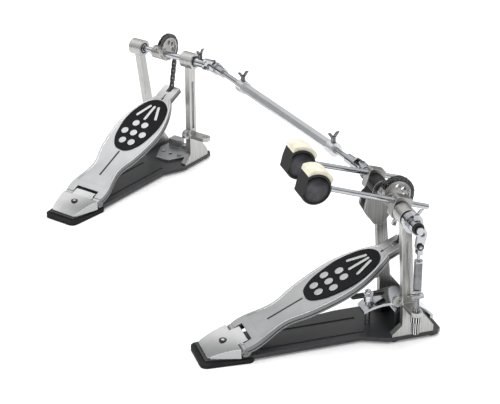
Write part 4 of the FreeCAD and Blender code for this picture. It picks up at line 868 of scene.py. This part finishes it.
# Raised lips round the domes of a beater head, open at its flat face
def make_lips(name, beater, body):
    hub_x, reach, degrees = beater
    tilt = beater_tilt(degrees)
    half_steps = 24
    mesh = bmesh.new()
    for side in (-1, 1):
        rows = []
        for step in range(2 * half_steps + 1):
            row = []
            for out, across in LIP_SECTION:
                radius = LIP_MIDDLE_R + across * MM
                end = math.acos(-(HEAD_FLAT - LIP_SHORT) / radius)
                angle = end * (step / half_steps - 1)
                point = Vector((
                    hub_x + side * (HEAD_HALF + out * MM), -reach + radius * math.cos(angle),
                    ROD_OFFSET + radius * math.sin(angle)))
                row.append(mesh.verts.new(tilt @ point))
            rows.append(row)
        skin(mesh, rows)
    obj = finish_piece(name, mesh, lip_abs)
    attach(obj, body)


for word, beater in (("right", RIGHT_BEATER), ("left", LEFT_BEATER)):
    make_felt(word + "_felt_strip", beater, word + "_beater_felt", word + "_head")
    make_lips(word + "_beater_lips", beater, word + "_head")


# Black strips in the creases of a footboard, painted shade where the creases read dark, domed a little
# over their lips, with a round-headed black stud before the fork
def make_crease_shade(name, pose, body):
    mesh = bmesh.new()
    half_round = 8
    for start, end in CREASES:
        rows = []
        for half_mm, height_mm in CREASE_SHADE_ROWS:
            half = half_mm * MM
            level = BOARD_FLOOR + height_mm * MM
            rim = []
            for step in range(half_round + 1):
                angle = math.pi + math.pi * step / half_round
                rim.append((half * math.cos(angle), start + CREASE_HALF + half * math.sin(angle)))
            for step in range(half_round + 1):
                angle = math.pi * step / half_round
                rim.append((half * math.cos(angle), end - CREASE_HALF + half * math.sin(angle)))
            rows.append([mesh.verts.new(pose @ Vector((x, u, level))) for x, u in rim])
        skin(mesh, rows)
    turn_on(mesh, pose @ Matrix.Translation((0, STUD_ALONG, BOARD_FLOOR)), DARK_STUD, 12)
    obj = finish_piece(name, mesh, black_nylon_and_shade_coat)
    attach(obj, body)


# Riveted pin heads on both sides of a chain
def make_pin_heads(name, pose, pins, body):
    mesh = bmesh.new()
    for pin in pins:
        for way in (-1, 1):
            head = pose @ Matrix.Translation(pin) @ Matrix.Rotation(way * math.pi / 2, 4, "Y")
            turn_on(mesh, head @ Matrix.Translation((0, 0, CHAIN_OUT)), PIN_HEAD, 10)
    obj = finish_piece(name, mesh, pin_steel)
    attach(obj, body)


strand_pins = [CHAIN_LEAVE.lerp(CHAIN_TOE, number / STRAND_LINKS) for number in range(STRAND_LINKS)]
leave_way = CHAIN_LEAVE - CAM_MID
leave_angle = math.atan2(leave_way.z, leave_way.y)
link_turn = 2 * math.asin(CHAIN_PITCH / 2 / CHAIN_R)
wrap_pins = []
for number in range(1, WRAP_LINKS + 1):
    angle = leave_angle + link_turn * number
    wrap_pins.append(CAM_MID + CHAIN_R * Vector((0, math.cos(angle), math.sin(angle))))
for word, pose in (("main", MAIN_POSE), ("second", SECOND_POSE)):
    make_crease_shade(word + "_board_crease_shade", pose @ BOARD_POSE, word + "_board")
    make_pin_heads(word + "_strand_pin_heads", pose, strand_pins, word + "_strand")
    make_pin_heads(word + "_wrap_pin_heads", pose, wrap_pins, word + "_axle")


# Nylon bush and pin head at the rocker's eye
def make_bush():
    mesh = bmesh.new()
    face = Matrix.Translation(EYE) @ Matrix.Rotation(math.pi / 2, 4, "Y")
    turn_on(mesh, face, EYE_BUSH, 28)
    obj = finish_piece("rocker_eye_bush", mesh, black_nylon_and_shade_coat)
    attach(obj, "spring_hook")
    mesh = bmesh.new()
    turn_on(mesh, face, EYE_PIN, 20)
    obj = finish_piece("rocker_eye_pin_head", mesh, chrome)
    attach(obj, "spring_hook")


make_bush()


# A turned ring round the axis of a pose: section lists radius and height of its closed outline
def turn_ring(mesh, pose, section, sides):
    rows = []
    for side in range(sides):
        angle = 2 * math.pi * side / sides
        row = []
        for radius_mm, height_mm in section:
            row.append(mesh.verts.new(pose @ turned_point(radius_mm, height_mm, angle)))
        rows.append(row)
    for low, high in zip(rows, rows[1:] + rows[:1]):
        bridge(mesh, low, high)


# Black rings on the main axle, painted shade in the gaps beside the housing, behind the rocker's flange
# and at the end of its hub
def make_gap_shade_rings():
    mesh = bmesh.new()
    pose = Matrix.Translation((0, 0, AXLE_HEIGHT)) @ Matrix.Rotation(math.pi / 2, 4, "Y")
    for start, end, inner, outer in GAP_SHADE_RINGS:
        section = [
            (inner, start), (outer - GAP_RING_RIM, start), (outer, start + GAP_RING_RIM),
            (outer, end - GAP_RING_RIM), (outer - GAP_RING_RIM, end), (inner, end)]
        turn_ring(mesh, pose, section, 32)
    obj = finish_piece("rocker_gap_shade_rings", mesh, black_nylon_and_shade_coat)
    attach(obj, "main_axle")


make_gap_shade_rings()


# Bearing caps over the upright pins of a joint's fork, domed, with a shallow rim
def make_joint_caps(name, centre, body):
    mesh = bmesh.new()
    for way in (0, math.pi):
        turned = Matrix.Translation(centre) @ Matrix.Rotation(way, 4, "X")
        turn_on(mesh, turned @ Matrix.Translation((0, 0, JOINT_EAR_OUT)), JOINT_CAP, 20)
    obj = finish_piece(name, mesh, cross_steel)
    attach(obj, body)


make_joint_caps("main_joint_caps", MAIN_JOINT, "left_shaft")
make_joint_caps("second_joint_caps", SECOND_JOINT, "second_axle")


# Socket-head screws: a turned head with a bevelled rim and a six-sided socket
def make_socket_screw(name, pose, radius, height, body):
    mesh = bmesh.new()
    sides = 24
    rows = []
    for share, level in ((1.0, 0.0), (1.0, 0.85), (0.9, 1.0)):
        ring = []
        for i in range(sides):
            angle = 2 * math.pi * i / sides
            far = share * radius
            ring.append((far * math.cos(angle), far * math.sin(angle), level * height))
        rows.append(ring)
    for share, level in ((0.55, 1.0), (0.52, 0.9), (0.52, 0.35)):
        ring = []
        for i in range(sides):
            angle = 2 * math.pi * i / sides
            within = angle % (math.pi / 3) - math.pi / 6
            far = share * radius * math.cos(math.pi / 6) / math.cos(within)
            ring.append((far * math.cos(angle), far * math.sin(angle), level * height))
        rows.append(ring)
    skin(mesh, [[mesh.verts.new(pose @ Vector(point)) for point in row] for row in rows])
    obj = finish_piece(name, mesh, bright_screw)
    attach(obj, body)


for word, way in (("left", -1), ("right", 1)):
    spot = SECOND_POSE @ Matrix.Translation((way * PLATE_SCREW_ACROSS, PLATE_SCREW_Y, PLATE_TOP))
    make_socket_screw("front_plate_screw_" + word, spot, PLATE_SCREW_R, PLATE_SCREW_H, "second_frame")

# Floor, light and camera
floor_mesh = bpy.data.meshes.new("studio_floor")
floor_corners = [(x * FLOOR_HALF, y * FLOOR_HALF, 0) for x, y in ((-1, -1), (1, -1), (1, 1), (-1, 1))]
floor_mesh.from_pydata(floor_corners, [], [(0, 1, 2, 3)])
floor = bpy.data.objects.new("studio_floor", floor_mesh)
bpy.context.scene.collection.objects.link(floor)
floor_material, floor_tree, floor_shader = start_material("white_studio_paper")[:3]
floor_rays = add(floor_tree, "ShaderNodeLightPath")
floor_view = add(floor_tree, "ShaderNodeMath", {
    0: floor_rays.outputs["Is Camera Ray"], 1: floor_rays.outputs["Is Glossy Ray"]},
    operation="MAXIMUM").outputs["Value"]
floor_seen = add(floor_tree, "ShaderNodeMath", {
    0: floor_view, 1: floor_rays.outputs["Is Transmission Ray"]}, operation="MAXIMUM").outputs["Value"]
floor_white = add(floor_tree, "ShaderNodeMath", {
    0: floor_seen, 1: FLOOR_GLOW}, operation="MULTIPLY").outputs["Value"]
connect(floor_tree, floor_shader, {
    "Base Color": (0.97, 0.97, 0.97, 1), "Roughness": 0.9, "Specular IOR Level": 0.0,
    "Emission Color": WHITE, "Emission Strength": floor_white})
floor_mesh.materials.append(floor_material)

# Studio sky: dim at the level of the eye and white overhead, so that metal shows both
world = bpy.data.worlds.new("studio_sky")
bpy.context.scene.world = world
world.use_nodes = True
sky_tree = world.node_tree
sky_way = add(sky_tree, "ShaderNodeTexCoord").outputs["Generated"]
sky_height = add(sky_tree, "ShaderNodeSeparateXYZ", {"Vector": sky_way}).outputs["Z"]
sky_level = add(sky_tree, "ShaderNodeMapRange", {
    "Value": sky_height, "From Min": 0.14, "From Max": 0.52,
    "To Min": 0.03, "To Max": 0.98}).outputs["Result"]
connect(sky_tree, sky_tree.nodes["Background"], {"Color": WHITE, "Strength": sky_level})


def soft_light(name, place, target, size, watts):
    light = bpy.data.lights.new(name, "AREA")
    light.shape = "RECTANGLE"
    light.size = size[0]
    light.size_y = size[1]
    light.energy = watts
    obj = bpy.data.objects.new(name, light)
    bpy.context.scene.collection.objects.link(obj)
    way = Vector(target) - Vector(place)
    obj.location = place
    obj.rotation_euler = way.to_track_quat("-Z", "Y").to_euler()


soft_light("overhead_softbox", (-0.3, 0.0, 3.0), (-0.3, 0.0, 0.1), (4.4, 4.4), 66)
soft_light("player_side_softbox", (0.6, -2.4, 1.4), (-0.3, -0.1, 0.1), (2.2, 1.6), 12)

bpy.context.scene.view_settings.view_transform = "Standard"

# Camera at the photograph's angle
look = Vector((
    -math.cos(CAMERA_YAW) * math.cos(CAMERA_PITCH),
    math.sin(CAMERA_YAW) * math.cos(CAMERA_PITCH),
    -math.sin(CAMERA_PITCH)))
across = Vector((math.sin(CAMERA_YAW), math.cos(CAMERA_YAW), 0))
upward = across.cross(look)
side = across * math.cos(CAMERA_ROLL) + upward * math.sin(CAMERA_ROLL)
top = upward * math.cos(CAMERA_ROLL) - across * math.sin(CAMERA_ROLL)
camera_data = bpy.data.cameras.new("photo_camera")
camera_data.sensor_width = SENSOR_WIDTH
camera_data.lens = SENSOR_WIDTH * PICTURE_FOCAL / PICTURE_WIDTH
camera_data.clip_end = 100
camera = bpy.data.objects.new("photo_camera", camera_data)
bpy.context.scene.collection.objects.link(camera)
turn = Matrix((side, top, -look)).transposed()
camera.matrix_world = Matrix.Translation(CAMERA_PLACE) @ turn.to_4x4()
bpy.context.scene.camera = camera
